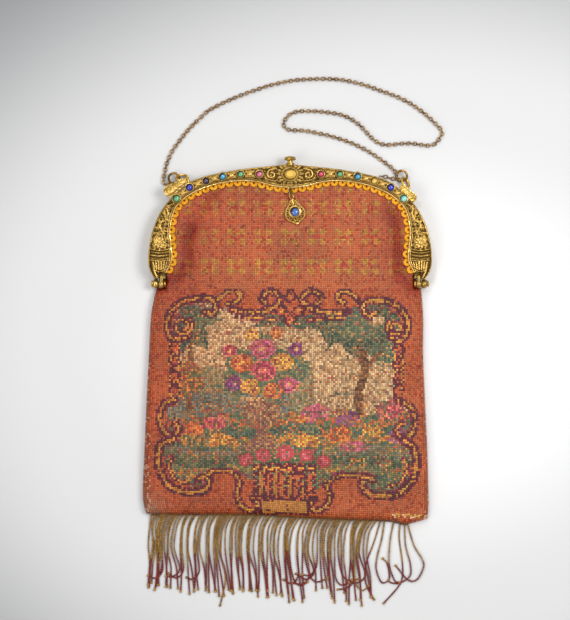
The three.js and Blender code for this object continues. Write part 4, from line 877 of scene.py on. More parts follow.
places, colours_of_strands, ends, end_colours = [], [], [], []
BRONZE, DARK_RED, END_GOLD = "#916b2c", "#74261e", "#9a7434"
for number, points in enumerate(strands):
    line = smooth_line(points, 30)
    length = np.linalg.norm(np.diff(line, axis=0), axis=1).sum()
    count = int(length / STRAND_BEAD)
    along = evenly(line, np.linspace(0, 1, count))
    ways = np.gradient(along, axis=0)
    lift = 0.8 + 0.45 * (number % 3) * np.sin(np.linspace(0, math.pi, count)) ** 2
    lift += 1.1 * np.exp(-np.linspace(0, 1, count) * 12)
    change = -143.5 - strand_draw.uniform(-4.5, 6)
    all_bronze = number in BRONZE_STRANDS
    for (x, y), (way_x, way_y), z in zip(along[:-1], ways[:-1], lift):
        spin = Matrix.Rotation(math.atan2(way_y, way_x), 4, "Z")
        size = strand_draw.uniform(0.68, 0.8)
        scale = Matrix.Diagonal((0.62 * MM, size * MM, size * MM, 1))
        places.append(shift(x, y, z) @ spin @ scale)
        red = y < change + strand_draw.uniform(-1.5, 1.5) and not all_bronze
        base = beads_of(DARK_RED if red else BRONZE) * strand_draw.uniform(0.6, 1.35)
        colours_of_strands.append(base)
    ends.append(shift(*along[-1], 1.0) @ Matrix.Scale(0.92 * MM, 4))
    end_colours.append(beads_of(END_GOLD) * strand_draw.uniform(0.6, 1.3))

# The dark row that binds the hem, of the same beads
for x in np.arange(-93.5, 80.5, 1.2):
    y = hem_at(x) - 0.75
    scale = Matrix.Diagonal((0.6 * MM, 0.6 * MM, 0.7 * MM, 1))
    places.append(shift(x, y, 1.9) @ scale)
    colours_of_strands.append(beads_of("#5a3122") * strand_draw.uniform(0.6, 1.3))


def bead_model(segments, rings_of_bead):
    bpy.ops.mesh.primitive_uv_sphere_add(segments=segments, ring_count=rings_of_bead, radius=1)
    return bpy.context.object


def colour_copies(obj, colours):
    loops = len(obj.data.loops) // len(colours)
    values = np.repeat(np.column_stack([np.array(colours), np.ones(len(colours))]), loops, axis=0)
    layer = obj.data.color_attributes.new("bead_colour", "FLOAT_COLOR", "CORNER")
    layer.data.foreach_set("color", values.astype(np.float32).ravel())


strand_beads = many(bead_model(6, 4), places, "fringe_strands")
colour_copies(strand_beads, colours_of_strands)
end_beads = many(bead_model(10, 6), ends, "fringe_end_beads")
colour_copies(end_beads, end_colours)
for obj in (strand_beads, end_beads):
    smooth_all(obj)

# Lined glass beads with a metallic lustre, strung tight, duller and brighter every 6 mm or so
strung, tree, surface = new_material("bronze lined glass beads")
colour = add_node(tree, "ShaderNodeVertexColor", layer_name="bead_colour")
place = add_node(tree, "ShaderNodeTexCoord")
dulled = noise(tree, place, 160.0, 3.0)
gloss = add_node(tree, "ShaderNodeMapRange", {"Value": dulled.outputs["Fac"], "To Min": 0.25, "To Max": 0.5})
set_inputs(tree, surface, {"Base Color": colour.outputs["Color"], "Roughness": gloss.outputs["Result"],
                           "Specular IOR Level": 0.35})
for obj in (strand_beads, end_beads):
    obj.data.materials.append(strung)
    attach(obj, "purse")
    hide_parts("fringe")


# The front half of the frame: a brass casting, gilt and worn, with leaf and scroll relief over a
# bar that widens into an urn on each arm. Its ground is dark with age and its ribs are rubbed bright.
PARTING = 6.7
FRONT_BAR_BACK = 6.9
BACK_BAR_TOP = 6.5
CROWN = 13.2
BAR_EDGE = 12.1
BAR_CLEAR = 0.8
BAR_END = 0.047
RIM_BACK, RIM_TOP = 9.7, 10.6
HOLES_END = 0.085
HOLE_PITCH = 5.6
STATIONS = 720
GROUND_DEPTH = -0.42


def lofted(name, rings):
    # A closed skin through rings of points; each ring is a row, and the ends are filled.
    bpy.ops.mesh.primitive_grid_add(x_subdivisions=len(rings[0]), y_subdivisions=len(rings) - 1, size=1)
    obj = bpy.context.object
    obj.name = name
    obj.data.name = name
    points = np.array(rings, float)
    points = np.concatenate([points, points[:, :1]], axis=1)
    obj.data.vertices.foreach_set("co", (points * MM).astype(np.float32).ravel())
    edit(obj)
    bpy.ops.mesh.remove_doubles(threshold=0.000001)
    bpy.ops.mesh.fill_holes(sides=0)
    bpy.ops.mesh.normals_make_consistent(inside=False)
    leave_edit()
    return obj


def bar_lines(count, clear=BAR_CLEAR):
    low = HINGE_Y + BAR_END * ARCH_RISE
    inner = spread(sewing, SEWN_EDGE + clear)
    inner = evenly(inner[inner[:, 1] >= low], np.linspace(0, 1, count))
    outside = evenly(outer[outer[:, 1] >= low], np.linspace(0, 1, count))
    return inner, outside


bar_inner, bar_outside = bar_lines(STATIONS)
# The bar narrows to its outer strip under the urn
narrow = 0.55 * soft_step((49.8 - bar_inner[:, 1]) / 3.4)[:, None]
bar_inner = bar_inner + (bar_outside - bar_inner) * narrow
shares = np.concatenate([[0, 0.015], np.linspace(0.03, 0.97, 50), [0.985, 1]])
dome = soft_step(np.minimum(shares, 1 - shares) / 0.25)
top_x = bar_inner[:, None, 0] + (bar_outside - bar_inner)[:, None, 0] * shares[None, :]
top_y = bar_inner[:, None, 1] + (bar_outside - bar_inner)[:, None, 1] * shares[None, :]
relief_x, relief_y = np.abs(top_x).ravel(), top_y.ravel()
relief = np.full(len(relief_x), GROUND_DEPTH)
# Fine curling stalks all over the ground
bend_x = relief_x + 0.9 * value_noise(relief_x, relief_y, 2.6, 52)
bend_y = relief_y + 0.9 * value_noise(relief_x, relief_y, 2.6, 53)
on_urn = soft_step((66.5 - relief_y) / 2.0) * (relief_y < 67)
relief += 0.6 * (1 - 0.9 * on_urn) * (1 - np.clip(np.abs(value_noise(bend_x, bend_y, 0.9, 51)) / 0.42, 0, 1))


def carve(points, width, height):
    # Raises a rounded rib along a line of the casting, the same on both arms of the frame.
    off = off_line(points, relief_x, relief_y, 5)
    near = off < width
    rise = GROUND_DEPTH + (height - GROUND_DEPTH) * np.sqrt(np.clip(1 - (off / width) ** 2, 0, 1))
    relief[near] = np.maximum(relief[near], rise[near])


def knob(x, y, wide, tall, height, turn=0.0, dimple=0.0):
    c, s = math.cos(math.radians(turn)), math.sin(math.radians(turn))
    u = (relief_x - x) * c + (relief_y - y) * s
    v = -(relief_x - x) * s + (relief_y - y) * c
    off = np.hypot(u / wide, v / tall)
    near = off < 1
    swell = np.sqrt(np.clip(1 - off ** 2, 0, 1))
    rise = GROUND_DEPTH + (height - GROUND_DEPTH) * swell - dimple * (off < 0.38)
    relief[near] = np.maximum(relief[near], rise[near])


def leaf(x, y, long, wide, turn, height=0.45):
    # A pointed leaf with a midrib, from its stem at x, y.
    c, s = math.cos(math.radians(turn)), math.sin(math.radians(turn))
    u = ((relief_x - x) * c + (relief_y - y) * s) / long
    v = (-(relief_x - x) * s + (relief_y - y) * c) / (wide / 2)
    width = np.sin(np.clip(u, 0, 1) * math.pi) ** 0.7
    near = (u > 0) & (u < 1) & (np.abs(v) < width)
    rise = height * (1 - 0.75 * (v / np.maximum(width, 0.05)) ** 2) - 0.22 * (np.abs(v) < 0.1)
    relief[near] = np.maximum(relief[near], rise[near] - 0.1)


side_stones = [(0.217, 0.921, 2.0), (0.35, 0.921, 2.0), (0.476, 0.9, 2.1), (0.592, 0.864, 2.1),
               (0.709, 0.809, 2.2), (0.801, 0.717, 2.3)]
stone_at = [(*arch_place(out, up), radius) for out, up, radius in side_stones]
# Sprays and bosses between the stones
for (x1, y1, _), (x2, y2, _) in zip(stone_at, stone_at[1:]):
    x, y = (x1 + x2) / 2, (y1 + y2) / 2
    turn = math.degrees(math.atan2(y2 - y1, x2 - x1))
    up = np.array([-math.sin(math.radians(turn)), math.cos(math.radians(turn))])
    for side in (-1, 1):
        for way, lean in ((0, 35), (180, -35)):
            leaf(x, y, 4.4, 2.0, turn + way + side * lean, 0.35)
        leaf(x, y, 3.6, 1.7, turn + 90 * side, 0.3)
        carve([(x + side * 2.2 * up[0] - 2.4, y + side * 2.2 * up[1] - 1),
               (x + side * 3 * up[0], y + side * 3 * up[1]),
               (x + side * 2.2 * up[0] + 2.4, y + side * 2.2 * up[1])], 0.42, 0.2)
    knob(x, y, 1.45, 1.45, 0.8, dimple=0.25)
# Scrolls and rays beside the middle stone
carve([(9.2, 118.6), (11.5, 118.4), (14.2, 117.2), (15.1, 114.8), (13.4, 112.5), (11, 113.1), (10.7, 115.2),
       (12.6, 115.9)], 0.72, 0.75)
carve([(8.6, 110.4), (11, 110.2), (13.6, 110.8), (16.2, 112), (17, 114)], 0.55, 0.5)
for angle in range(-80, 90, 20):
    reach_x, reach_y = math.cos(math.radians(angle)), math.sin(math.radians(angle))
    leaf(5.7 * reach_x, 115 + 5.0 * reach_y, 3.6, 1.9, angle, 0.42)
for x, y, turn in [(16.5, 118.6, 160), (17, 110.8, 200), (9.5, 119.5, 10), (9.8, 108.6, -8), (25, 118.3, 175),
                   (27, 110.9, 178)]:
    leaf(x, y, 3.4, 1.5, turn, 0.3)
# Vine and leaves down the arm
carve([(79.6, 94.5), (82.5, 91.5), (82, 87), (84.6, 83.5), (87.6, 81), (86.2, 77), (84.4, 74.8)], 0.6, 0.5)
for x, y, long, wide, turn in [
        (81, 93, 4.2, 2.3, 25), (82, 90, 3.8, 2, -115), (82.6, 87.5, 4.6, 2.4, 20), (83.6, 85, 4, 2.1, -140),
        (86.5, 82, 4.4, 2.4, 40), (86.8, 79, 4.4, 2.3, -5), (85.6, 77, 4.2, 2.2, -165),
        (84.6, 81, 3.6, 2, 170),
        (88.6, 76, 3.6, 1.9, -20), (90.5, 80, 3, 1.7, -60), (83, 79.5, 3, 1.6, -100),
        (91.2, 72.5, 3, 1.7, -80)]:
    leaf(x, y, long * 0.8, wide * 0.75, turn, 0.45)
leaf_draw = np.random.default_rng(23)
for k in range(130):
    # Small leaves scattered between the larger ones
    up_arm = leaf_draw.uniform(66, 94)
    inner_x = np.interp(up_arm, bar_inner[::-1, 1][:300], bar_inner[::-1, 0][:300])
    outer_x = np.interp(up_arm, bar_outside[::-1, 1][:300], bar_outside[::-1, 0][:300])
    leaf(inner_x + (outer_x - inner_x) * leaf_draw.uniform(0.12, 0.88), up_arm, leaf_draw.uniform(1.7, 2.6),
         leaf_draw.uniform(0.75, 1.1), leaf_draw.uniform(0, 360), leaf_draw.uniform(0.15, 0.5))
for x, y in [(84.6, 88.2), (88.2, 84.2), (89.6, 79.2), (82.9, 76.4), (91.5, 75.6), (84.2, 72.8)]:
    knob(x, y, 0.8, 0.8, 0.5)
# Flower head over the urn
for step in range(9):
    angle = math.radians(step * 40 + 10)
    knob(87.6 + 3.0 * math.cos(angle), 68.6 + 2.7 * math.sin(angle), 1.55, 1.0, 0.55, math.degrees(angle))
    knob(87.6 + 4.9 * math.cos(angle + 0.35), 68.6 + 4.3 * math.sin(angle + 0.35), 1.2, 0.8, 0.3,
         math.degrees(angle))
knob(87.6, 68.6, 1.7, 1.6, 0.95, dimple=0.3)
# Urn: three bands, a row of flutes, petals and the foot
for y, bow, height in [(64.4, 0.9, 0.6), (62.6, 0.7, 0.35), (60.4, 0.6, 0.75), (58.2, 0.5, 0.4),
                       (56.9, 0.4, 0.65)]:
    carve([(81.6, y + 0.2), (84.5, y - bow * 0.6), (87.5, y - bow), (90.5, y - bow * 0.6), (93.6, y + 0.2)],
          0.55, height)
for k in range(6):
    x = 82.8 + k * 1.85
    low = 50.7 + 0.16 * (k - 2.5) ** 2
    carve([(x, 55.6), (87.4 + (x - 87.4) * 0.78, low)], 0.68, 0.95)
carve([(83.6, 50.8), (87.4, 49.2), (91.4, 50.6)], 0.55, 0.5)
carve([(91.6, 53), (91, 49.5), (89.4, 46), (88.3, 44.2)], 0.75, 0.8)
carve([(83.2, 51.2), (84.6, 48), (86.5, 45.6)], 0.75, 0.7)
# The gap between the two struts is sunk below the ground
gap = off_line([(87.2, 48.2), (87.4, 45.6)], relief_x, relief_y, 5) < 0.8
relief[gap] = np.minimum(relief[gap], -1.4)
relief = relief.reshape(top_x.shape)
# Plain ribs along both edges, the inner one rubbed brightest
edge_off = np.minimum(shares, 1 - shares)[None, :] * np.linalg.norm(bar_outside - bar_inner, axis=1)[:, None]
relief = np.where(edge_off < 0.85, np.maximum(relief, 0.42 - 0.5 * np.abs(edge_off - 0.42)), relief)
relief *= np.clip(edge_off / 0.3, 0.35, 1)
top_z = BAR_EDGE + (CROWN - BAR_EDGE) * dome[None, :] + 0.25 + relief * 0.9
top_z = np.minimum(top_z, CROWN + 0.8)
rings = []
for k in range(STATIONS):
    row = [(bar_inner[k][0], bar_inner[k][1], FRONT_BAR_BACK)]
    row += list(zip(top_x[k], top_y[k], top_z[k]))
    row += [(bar_outside[k][0], bar_outside[k][1], FRONT_BAR_BACK)]
    rings.append(row)
front_bar = lofted("frame_front_casting", rings)
# How far each point stands up or lies sunk, for the dark ground and the rubbed ribs
heights = np.full((STATIONS, len(shares) + 2), 0.45, np.float32)
heights[:, 1:-1] = np.clip((relief - GROUND_DEPTH) / 1.1, 0, 1)
front_bar.data.attributes.new("rubbed", "FLOAT", "POINT").data.foreach_set("value", heights.ravel())
smooth_all(front_bar, 50)


def turned(name, profile, sides, at=(0, 0, 0), axis="Z", squeeze=(1, 1)):
    # A turned piece from a profile of radius and height, closed at its ends, along an axis.
    angles = np.arange(sides) * 2 * math.pi / sides
    rings_of_it = [[(r * math.cos(a), r * math.sin(a), h) for r, h in profile] for a in angles]
    points = np.array(rings_of_it + rings_of_it[:1])
    bpy.ops.mesh.primitive_grid_add(x_subdivisions=len(profile) - 1, y_subdivisions=sides, size=1)
    obj = bpy.context.object
    obj.name = name
    obj.data.name = name
    points[:, :, 0] *= squeeze[0]
    points[:, :, 1] *= squeeze[1]
    if axis == "X":
        points = points[:, :, [2, 0, 1]]
    if axis == "Y":
        points = points[:, :, [1, 2, 0]]
    points += np.array(at)
    obj.data.vertices.foreach_set("co", (points * MM).astype(np.float32).ravel())
    edit(obj)
    bpy.ops.mesh.remove_doubles(threshold=0.000002)
    bpy.ops.mesh.normals_make_consistent(inside=False)
    leave_edit()
    smooth_all(obj, 35)
    return obj


def wire(name, points, radius, closed=False, sides=8):
    # A round wire through points, as a mesh.
    path = bpy.data.curves.new(name, "CURVE")
    path.dimensions = "3D"
    path.bevel_depth = radius * MM
    path.bevel_resolution = max(sides // 4 - 1, 0)
    path.use_fill_caps = not closed
    spline = path.splines.new("POLY")
    spline.points.add(len(points) - 1)
    for knot, p in zip(spline.points, points):
        knot.co = (p[0] * MM, p[1] * MM, p[2] * MM, 1)
    spline.use_cyclic_u = closed
    obj = bpy.data.objects.new(name, path)
    bpy.context.scene.collection.objects.link(obj)
    take_up(obj)
    bpy.ops.object.convert(target="MESH")
    made = bpy.context.object
    smooth_all(made, 60)
    return made


def torus(radius, thick, around, section, squeeze=(1, 1, 1)):
    bpy.ops.mesh.primitive_torus_add(major_radius=radius * MM, minor_radius=thick * MM,
                                     major_segments=around, minor_segments=section)
    obj = bpy.context.object
    obj.scale = squeeze
    apply_place(obj)
    return obj


# The scalloped rim, stamped and pierced for the sewing thread: one ring to each stitch hole
rim_line = sewing[sewing[:, 1] >= HINGE_Y + HOLES_END * ARCH_RISE]
rim_long = np.linalg.norm(np.diff(rim_line, axis=0), axis=1).sum()
holes = 2 * round(rim_long / HOLE_PITCH / 2)
hole_at = evenly(rim_line, (np.arange(holes) + 0.5) / holes)
hole_places = [shift(x, y, 0) for x, y in hole_at]
SCALLOP = [(0.55, 9.7), (0.55, 10.45), (0.75, 10.65), (1.0, 10.65), (1.1, 10.5), (2.0, 10.5), (2.1, 10.7),
           (2.55, 10.7), (2.7, 10.4), (2.6, 9.7), (0.55, 9.7)]
scallops = many(turned("scallop", SCALLOP, 22), hole_places, "rim_scallops")
strip_in = evenly(spread(rim_line, 0.95), np.linspace(0, 1, 300))
strip_out = evenly(spread(rim_line, 2.8), np.linspace(0, 1, 300))
strip = lofted("rim_strip", [[(*a, RIM_BACK), (*a, RIM_TOP), (*b, RIM_TOP), (*b, RIM_BACK)]
                             for a, b in zip(strip_in, strip_out)])
bead_line = evenly(spread(rim_line, 1.25), np.linspace(0, 1, 330))
edge_wire = wire("rim_wire", [(x, y, 11.5) for x, y in bead_line], 0.6)
edge_wire.name = "rim_edge_wire"
rim = join([scallops, strip], "scalloped_rim")
smooth_all(rim, 22)


def grain_ring(name, count, reach, middle, size):
    # A ring of small grains round a setting.
    angles = np.arange(count) * 2 * math.pi / count
    grains = [shift(reach[0] * math.cos(a), middle[1] + reach[1] * math.sin(a), middle[2])
              @ Matrix.Scale(size * MM, 4) for a in angles]
    return many(bead_model(8, 5), grains, name)


# Turned settings that hold the stones, the middle one with a ring of grains
SOCKET_FLOOR = 12.1
BEZEL_TOP = 14.0
bezel_parts = []
for x, y, radius in stone_at:
    for side in (-1, 1):
        profile = [(0, SOCKET_FLOOR), (radius + 0.28, SOCKET_FLOOR), (radius + 0.28, BEZEL_TOP - 0.25),
                   (radius + 0.42, BEZEL_TOP), (radius + 0.75, BEZEL_TOP - 0.05),
                   (radius + 0.92, BEZEL_TOP - 0.5), (radius + 0.92, 13.2), (radius + 1.2, 12.9),
                   (radius + 1.2, 11.2), (0, 11.2)]
        bezel_parts.append(turned("setting", profile, 32, (x * side, y, 0)))
centre_y = arch_place(0, 0.921)[1]
profile = [(0, SOCKET_FLOOR), (1.0, SOCKET_FLOOR), (1.0, BEZEL_TOP - 0.2), (1.05, BEZEL_TOP + 0.1),
           (1.13, BEZEL_TOP), (1.17, 13.5), (1.3, 13.5), (1.36, 13.9), (1.42, 13.5), (1.42, 11.2), (0, 11.2)]
bezel_parts.append(turned("middle_setting", [(r * 4.6, h) for r, h in profile], 48, (0, centre_y, 0),
                          squeeze=(1, 0.8)))
bezel_parts.append(grain_ring("middle_grains", 26, (6.15, 4.9), (0, centre_y, 13.65), 0.5))
settings = join(bezel_parts, "stone_settings")
smooth_all(settings, 40)


def hinge_neck(x, level):
    # The short arm between a bar and its hinge barrel, with rounded edges.
    bpy.ops.mesh.primitive_cube_add(size=1)
    neck = bpy.context.object
    neck.scale = (2.2 * MM, 5.0 * MM, 2.6 * MM)
    neck.location = (x * MM, 44.6 * MM, level * MM)
    apply_place(neck)
    rounding = neck.modifiers.new("rounding", "BEVEL")
    rounding.width = 0.5 * MM
    rounding.segments = 3
    take_up(neck)
    bpy.ops.object.modifier_apply(modifier=rounding.name)
    return neck


fittings = []
for side in (-1, 1):
    barrel = [(1.4, 0), (1.9, 0), (2.6, 0.35), (3.0, 1.0), (3.1, 1.8), (3.0, 2.6), (2.6, 3.25), (1.9, 3.6),
              (1.4, 3.6), (1.4, 0)]
    start = 85.0 if side > 0 else -88.6
    fittings.append(turned("hinge_barrel", barrel, 28, (start, HINGE_Y, PARTING), "X"))
    fittings.append(hinge_neck(side * 86.8, 8.5))
collar = [(2.15, -3), (2.75, -3), (2.75, 0.4), (3.0, 0.6), (3.0, 1.0), (2.7, 1.3), (2.15, 1.3), (2.15, -3)]
BUTTON_LEVEL = 9.6
ARCH_TOP = HINGE_Y + ARCH_RISE
fittings.append(turned("button_collar", collar, 32, (0, ARCH_TOP, BUTTON_LEVEL), "Y"))
EYE_Y = arch_place(0, 0.803)[1]
EYE_LEVEL = RIM_TOP + 1.6 * math.sin(math.radians(45)) + 0.42 + 0.25
LINK_TURN = math.radians(45)
eye = torus(1.6, 0.42, 24, 8)
eye.rotation_euler = (0, LINK_TURN, 0)
eye.location = (0, EYE_Y * MM, EYE_LEVEL * MM)
apply_place(eye)
smooth_all(eye)
fittings.append(eye)
foot = wire("eye_foot", [(0, EYE_Y + 1.5, EYE_LEVEL - 0.2), (0, EYE_Y + 3.6, 11.2)], 0.6)
fittings.append(foot)
front_fittings = join(fittings, "frame_front_fittings")
smooth_all(front_fittings, 40)


# Two leaves that lap over the shoulders, cast with veins
def shoulder_leaf(name, start, end, wide, outward):
    start, end = arch_place(*start), arch_place(*end)
    along = end - start
    long = np.linalg.norm(along)
    along = along / long
    across_way = np.array([-along[1], along[0]])
    us, vs = np.linspace(0, 1, 46), np.linspace(-1, 1, 25)
    rows = []
    for u in us:
        width = wide / 2 * np.interp(u, [0, 0.15, 0.4, 0.7, 0.88, 0.96, 1],
                                     [0.45, 0.62, 0.84, 1.12, 1.1, 0.85, 0.4])
        row = []
        for v in vs:
            groove = 0.5 * math.exp(-(v / 0.13) ** 2)
            curve = 1 - v * v - groove + 0.18 * math.cos(v * 12) + 0.1 * math.sin(u * 34 + 6 * abs(v))
            p = start + along * long * u + across_way * (width * v + outward)
            row.append((p[0], p[1], 12.6 + curve * (0.55 + 0.45 * math.sin(u * math.pi)) - 1.2 * u ** 3))
        low = [(p[0], p[1], 11.0) for p in row[::-1]]
        rows.append(row + low)
    made = lofted(name, rows)
    smooth_all(made, 50)
    return made


leaf_left = shoulder_leaf("leaf_left", (-0.728, 0.862), (-0.878, 0.745), 6.8, -0.9)
leaf_right = shoulder_leaf("leaf_right", (0.772, 0.818), (0.876, 0.69), 5.8, 0.6)
leaves = join([leaf_left, leaf_right], "shoulder_leaves")


# Gilt brass, cast and worn: an olive gold with a dark ground and rubbed high places. Its patches are
# about 4 mm across and its grit 0.7 mm, as on handled gilding.
def gilt(name, dark, olive, bright, rough, attribute=None, level=0.55):
    made, tree, surface = new_material(name)
    place = add_node(tree, "ShaderNodeTexCoord")
    patches = noise(tree, place, 260.0, 6.0)
    grit = noise(tree, place, 1500.0, 3.0)
    if attribute:
        height = add_node(tree, "ShaderNodeAttribute", attribute_name=attribute).outputs["Fac"]
    else:
        spread_of = add_node(tree, "ShaderNodeMapRange", {"Value": patches.outputs["Fac"], "From Min": 0.3,
                             "From Max": 0.7, "To Min": level - 0.2, "To Max": level + 0.2})
        height = spread_of.outputs["Result"]
    worn = add_node(tree, "ShaderNodeMath", {0: patches.outputs["Fac"], 1: 0.35, 2: -0.17},
                    operation="MULTIPLY_ADD")
    total = add_node(tree, "ShaderNodeMath", {0: height, 1: worn.outputs["Value"]}, operation="ADD")
    ramp = add_node(tree, "ShaderNodeValToRGB", {"Fac": total.outputs["Value"]})
    ramp.color_ramp.elements[0].position = 0.08
    ramp.color_ramp.elements[0].color = shade(dark)
    ramp.color_ramp.elements[1].position = 0.9
    ramp.color_ramp.elements[1].color = shade(bright)
    middle = ramp.color_ramp.elements.new(0.45)
    middle.color = shade(olive)
    roughness = add_node(tree, "ShaderNodeMapRange",
                         {"Value": total.outputs["Value"], "To Min": rough + 0.2, "To Max": rough})
    bump = add_node(tree, "ShaderNodeBump",
                    {"Height": grit.outputs["Fac"], "Strength": 0.25, "Distance": 0.0002})
    set_inputs(tree, surface, {"Base Color": ramp.outputs["Color"], "Metallic": 0.85,
                               "Roughness": roughness.outputs["Result"],
                               "Normal": bump.outputs["Normal"]})
    return made


cast_gilt = gilt("cast gilt brass", "#4b3815", "#8f7034", "#cda558", 0.3, "rubbed")
plain_gilt = gilt("worn gilt brass", "#54421c", "#9a7e40", "#d6b268", 0.3)
wire_gilt = gilt("burnished gilt edge", "#9a6c20", "#dcae4a", "#ffe6a0", 0.2, level=0.7)
rim_gilt = gilt("bright stamped gilt", "#9c6410", "#d08f1c", "#f0b338", 0.28, level=0.55)
leaf_gilt = gilt("leaf gilt brass", "#5c4416", "#a5803a", "#dcb868", 0.26, level=0.6)
for obj, finish in [(front_bar, cast_gilt), (rim, rim_gilt), (edge_wire, wire_gilt), (settings, plain_gilt),
                    (front_fittings, plain_gilt), (leaves, leaf_gilt)]:
    obj.data.materials.clear()
    obj.data.materials.append(finish)
    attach(obj, "purse")
    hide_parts("frame_front")


# The back half of the frame: a plain bar with a rolled edge, a plain rim for the stitches, its hinge
# barrels, and the two loops at the shoulders that carry the chain's rings.
back_inner, back_outside = bar_lines(360)
back_shares = np.concatenate([[0, 0.03, 0.1], np.linspace(0.18, 0.82, 8), [0.9, 0.97, 1]])
under = 1.15 * (1 - soft_step(np.minimum(back_shares, 1 - back_shares) / 0.14))
groove = 0.25 * ((np.abs(back_shares - 0.18) < 0.01) | (np.abs(back_shares - 0.82) < 0.01))
rings = []
for a, b in zip(back_inner, back_outside):
    rows_here = [(*a, BACK_BAR_TOP)]
    rows_here += [(*(a + (b - a) * s), u + g) for s, u, g in zip(back_shares, under, groove)]
    rows_here += [(*b, BACK_BAR_TOP)]
    rings.append(rows_here)
back_bar = lofted("back_bar", rings)
back_rim_in = evenly(spread(rim_line, -1.2), np.linspace(0, 1, 300))
back_rim_out = evenly(spread(rim_line, 2.8), np.linspace(0, 1, 300))
back_rim = lofted("back_rim", [[(*a, 0.15), (*a, 0.9), (*b, 0.9), (*b, 0.05)] for a,
                               b in zip(back_rim_in, back_rim_out)])
back_parts = [back_bar, back_rim]
for side in (-1, 1):
    start = 88.9 if side > 0 else -92.5
    back_parts.append(turned("back_barrel", barrel, 28, (start, HINGE_Y, PARTING), "X"))
    back_parts.append(hinge_neck(side * 90.7, 5.0))
LUG_LEVEL = 3.25
# The loop's middle, the way towards its ring in degrees, and its foot on the bar
LUGS = {"left": ((-0.768, 0.899), 186, (-0.712, 0.83)), "right": ((0.819, 0.855), 119, (0.805, 0.74))}
loops = []
for side, (middle, towards, foot_at) in LUGS.items():
    at = arch_place(*middle)
    loop = torus(2.4, 0.7, 32, 10)
    loop.scale = (1.45, 1, 1)
    apply_place(loop)
    loop.data.transform(turn_by(towards, "Z") @ turn_by(40, "X"))
    loop.data.transform(shift(*at, LUG_LEVEL))
    foot_end = arch_place(*foot_at)
    back_way = np.array([math.cos(math.radians(towards)), math.sin(math.radians(towards))])
    start = at - 3.5 * back_way
    stem_line = [(*p, LUG_LEVEL) for p in (start, (start + foot_end) / 2, foot_end)]
    stem = wire("loop_stem", stem_line, 1.0, sides=12)
    loops += [loop, stem]
ring_loops = join(loops, "ring_loops")
smooth_all(ring_loops, 60)
back_frame = join(back_parts, "frame_back_bar")
smooth_all(back_frame, 40)
loop_gilt = gilt("rubbed gilt wire", "#7d5a1a", "#c0963a", "#f0cc70", 0.22, level=0.65)
for obj, finish in [(back_frame, plain_gilt), (ring_loops, loop_gilt)]:
    obj.data.materials.clear()
    obj.data.materials.append(finish)
    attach(obj, "purse")
    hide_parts("frame_back")

# The hinge pins: turned brass with domed heads. Each goes through the barrels of both halves and is
# riveted over, so that it has a head at each end.
brass = gilt("turned brass", "#6b4f1c", "#a68238", "#d9b45e", 0.24, level=0.6)
for side in ("left", "right"):
    pin_name = f"hinge_pin_{side}"
    profile = [(0, 83.55), (1.6, 83.6), (2.2, 83.9), (2.4, 84.3), (2.4, 84.7), (1.1, 84.7), (1.1, 92.8),
               (2.4, 92.8), (2.4, 93.1), (2.0, 93.6), (1.2, 93.88), (0, 93.9)]
    pin = turned(f"{pin_name}_turned", profile, 24, (0, HINGE_Y, PARTING), "X")
    if side == "left":
        pin.data.transform(Matrix.Diagonal((-1, 1, 1, 1)))
        pin.data.flip_normals()
    pin.data.materials.append(brass)
    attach(pin, "purse")
    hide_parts(pin_name)

# The clasp button: a turned brass cap on a neck that slides in the collar on top of the frame.
# Pressing it frees the catch between the two halves.
under_cap = ARCH_TOP + 1.3 + 1.5 + 0.3
CAP = [(2.05, -0.05), (3.3, 0), (3.8, 0.2), (3.95, 0.65), (3.75, 1.1), (3.9, 1.5), (3.7, 1.95), (3.0, 2.4),
       (1.8, 2.7), (0, 2.8)]
profile = [(0, ARCH_TOP - 4.2), (1.7, ARCH_TOP - 4.2), (1.85, ARCH_TOP - 4.0), (1.85, under_cap - 0.3)]
profile += [(radius, under_cap + height) for radius, height in CAP]
button = turned("clasp_button_turned", profile, 40, (0, 0, BUTTON_LEVEL), "Y")
button.data.materials.append(brass)
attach(button, "button")
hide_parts("clasp_button")


# The stones: pressed glass, domed and polished, over bright foil; the middle one is cut with a table
# and facets. Each is held by the lip of its setting; the light that the foil behind it throws back is painted
# into the glass colour, brightest at the top and lower right.
def paste(name, deep, light):
    made, tree, surface = new_material(name)
    place = add_node(tree, "ShaderNodeTexCoord")
    clouds = noise(tree, place, 420.0, 2.0)
    # Painted light: the light thrown back by the foil is painted into the colour, read from a value on each
    # point.
    foil = add_node(tree, "ShaderNodeAttribute", attribute_name="painted_foil_light")
    glow = add_node(tree, "ShaderNodeMath", {0: clouds.outputs["Fac"], 1: 0.4, 2: foil.outputs["Fac"]},
                    operation="MULTIPLY_ADD")
    ramp = add_node(tree, "ShaderNodeValToRGB", {"Fac": glow.outputs["Value"]})
    ramp.color_ramp.elements[0].position = 0.35
    ramp.color_ramp.elements[0].color = shade(deep)
    ramp.color_ramp.elements[1].position = 1.1
    ramp.color_ramp.elements[1].color = shade(light)
    set_inputs(tree, surface, {"Base Color": ramp.outputs["Color"], "Roughness": 0.08, "IOR": 1.55,
                               "Coat Weight": 0.6, "Coat Roughness": 0.05})
    return made


PASTES = {
    "rose_paste": ("#7d2444", "#cf6f8c"), "green_paste": ("#1c4a30", "#5fa574"),
    "teal_paste": ("#0a3f5c", "#3a93b4"),
    "violet_paste": ("#140a1a", "#3a2346"), "blue_paste": ("#0a0d58", "#2a35b0"),
    "citrine_paste": ("#8a661e", "#dfb450"),
    "ruby_paste": ("#7d0c28", "#c93058"),
}
pastes = {slot: paste(slot.replace("_", " "), *pair) for slot, pair in PASTES.items()}
pale_teal = paste("pale teal paste", "#2c6f6c", "#8fd4cc")
COLOURS = {"left": ["rose", "green", "teal", "violet", "blue", "green"],
           "right": ["ruby", "green", "teal", "citrine", "blue", "teal"]}
SEAT = 12.4
DOME_ANGLES = np.linspace(0.15, math.pi / 2, 8)


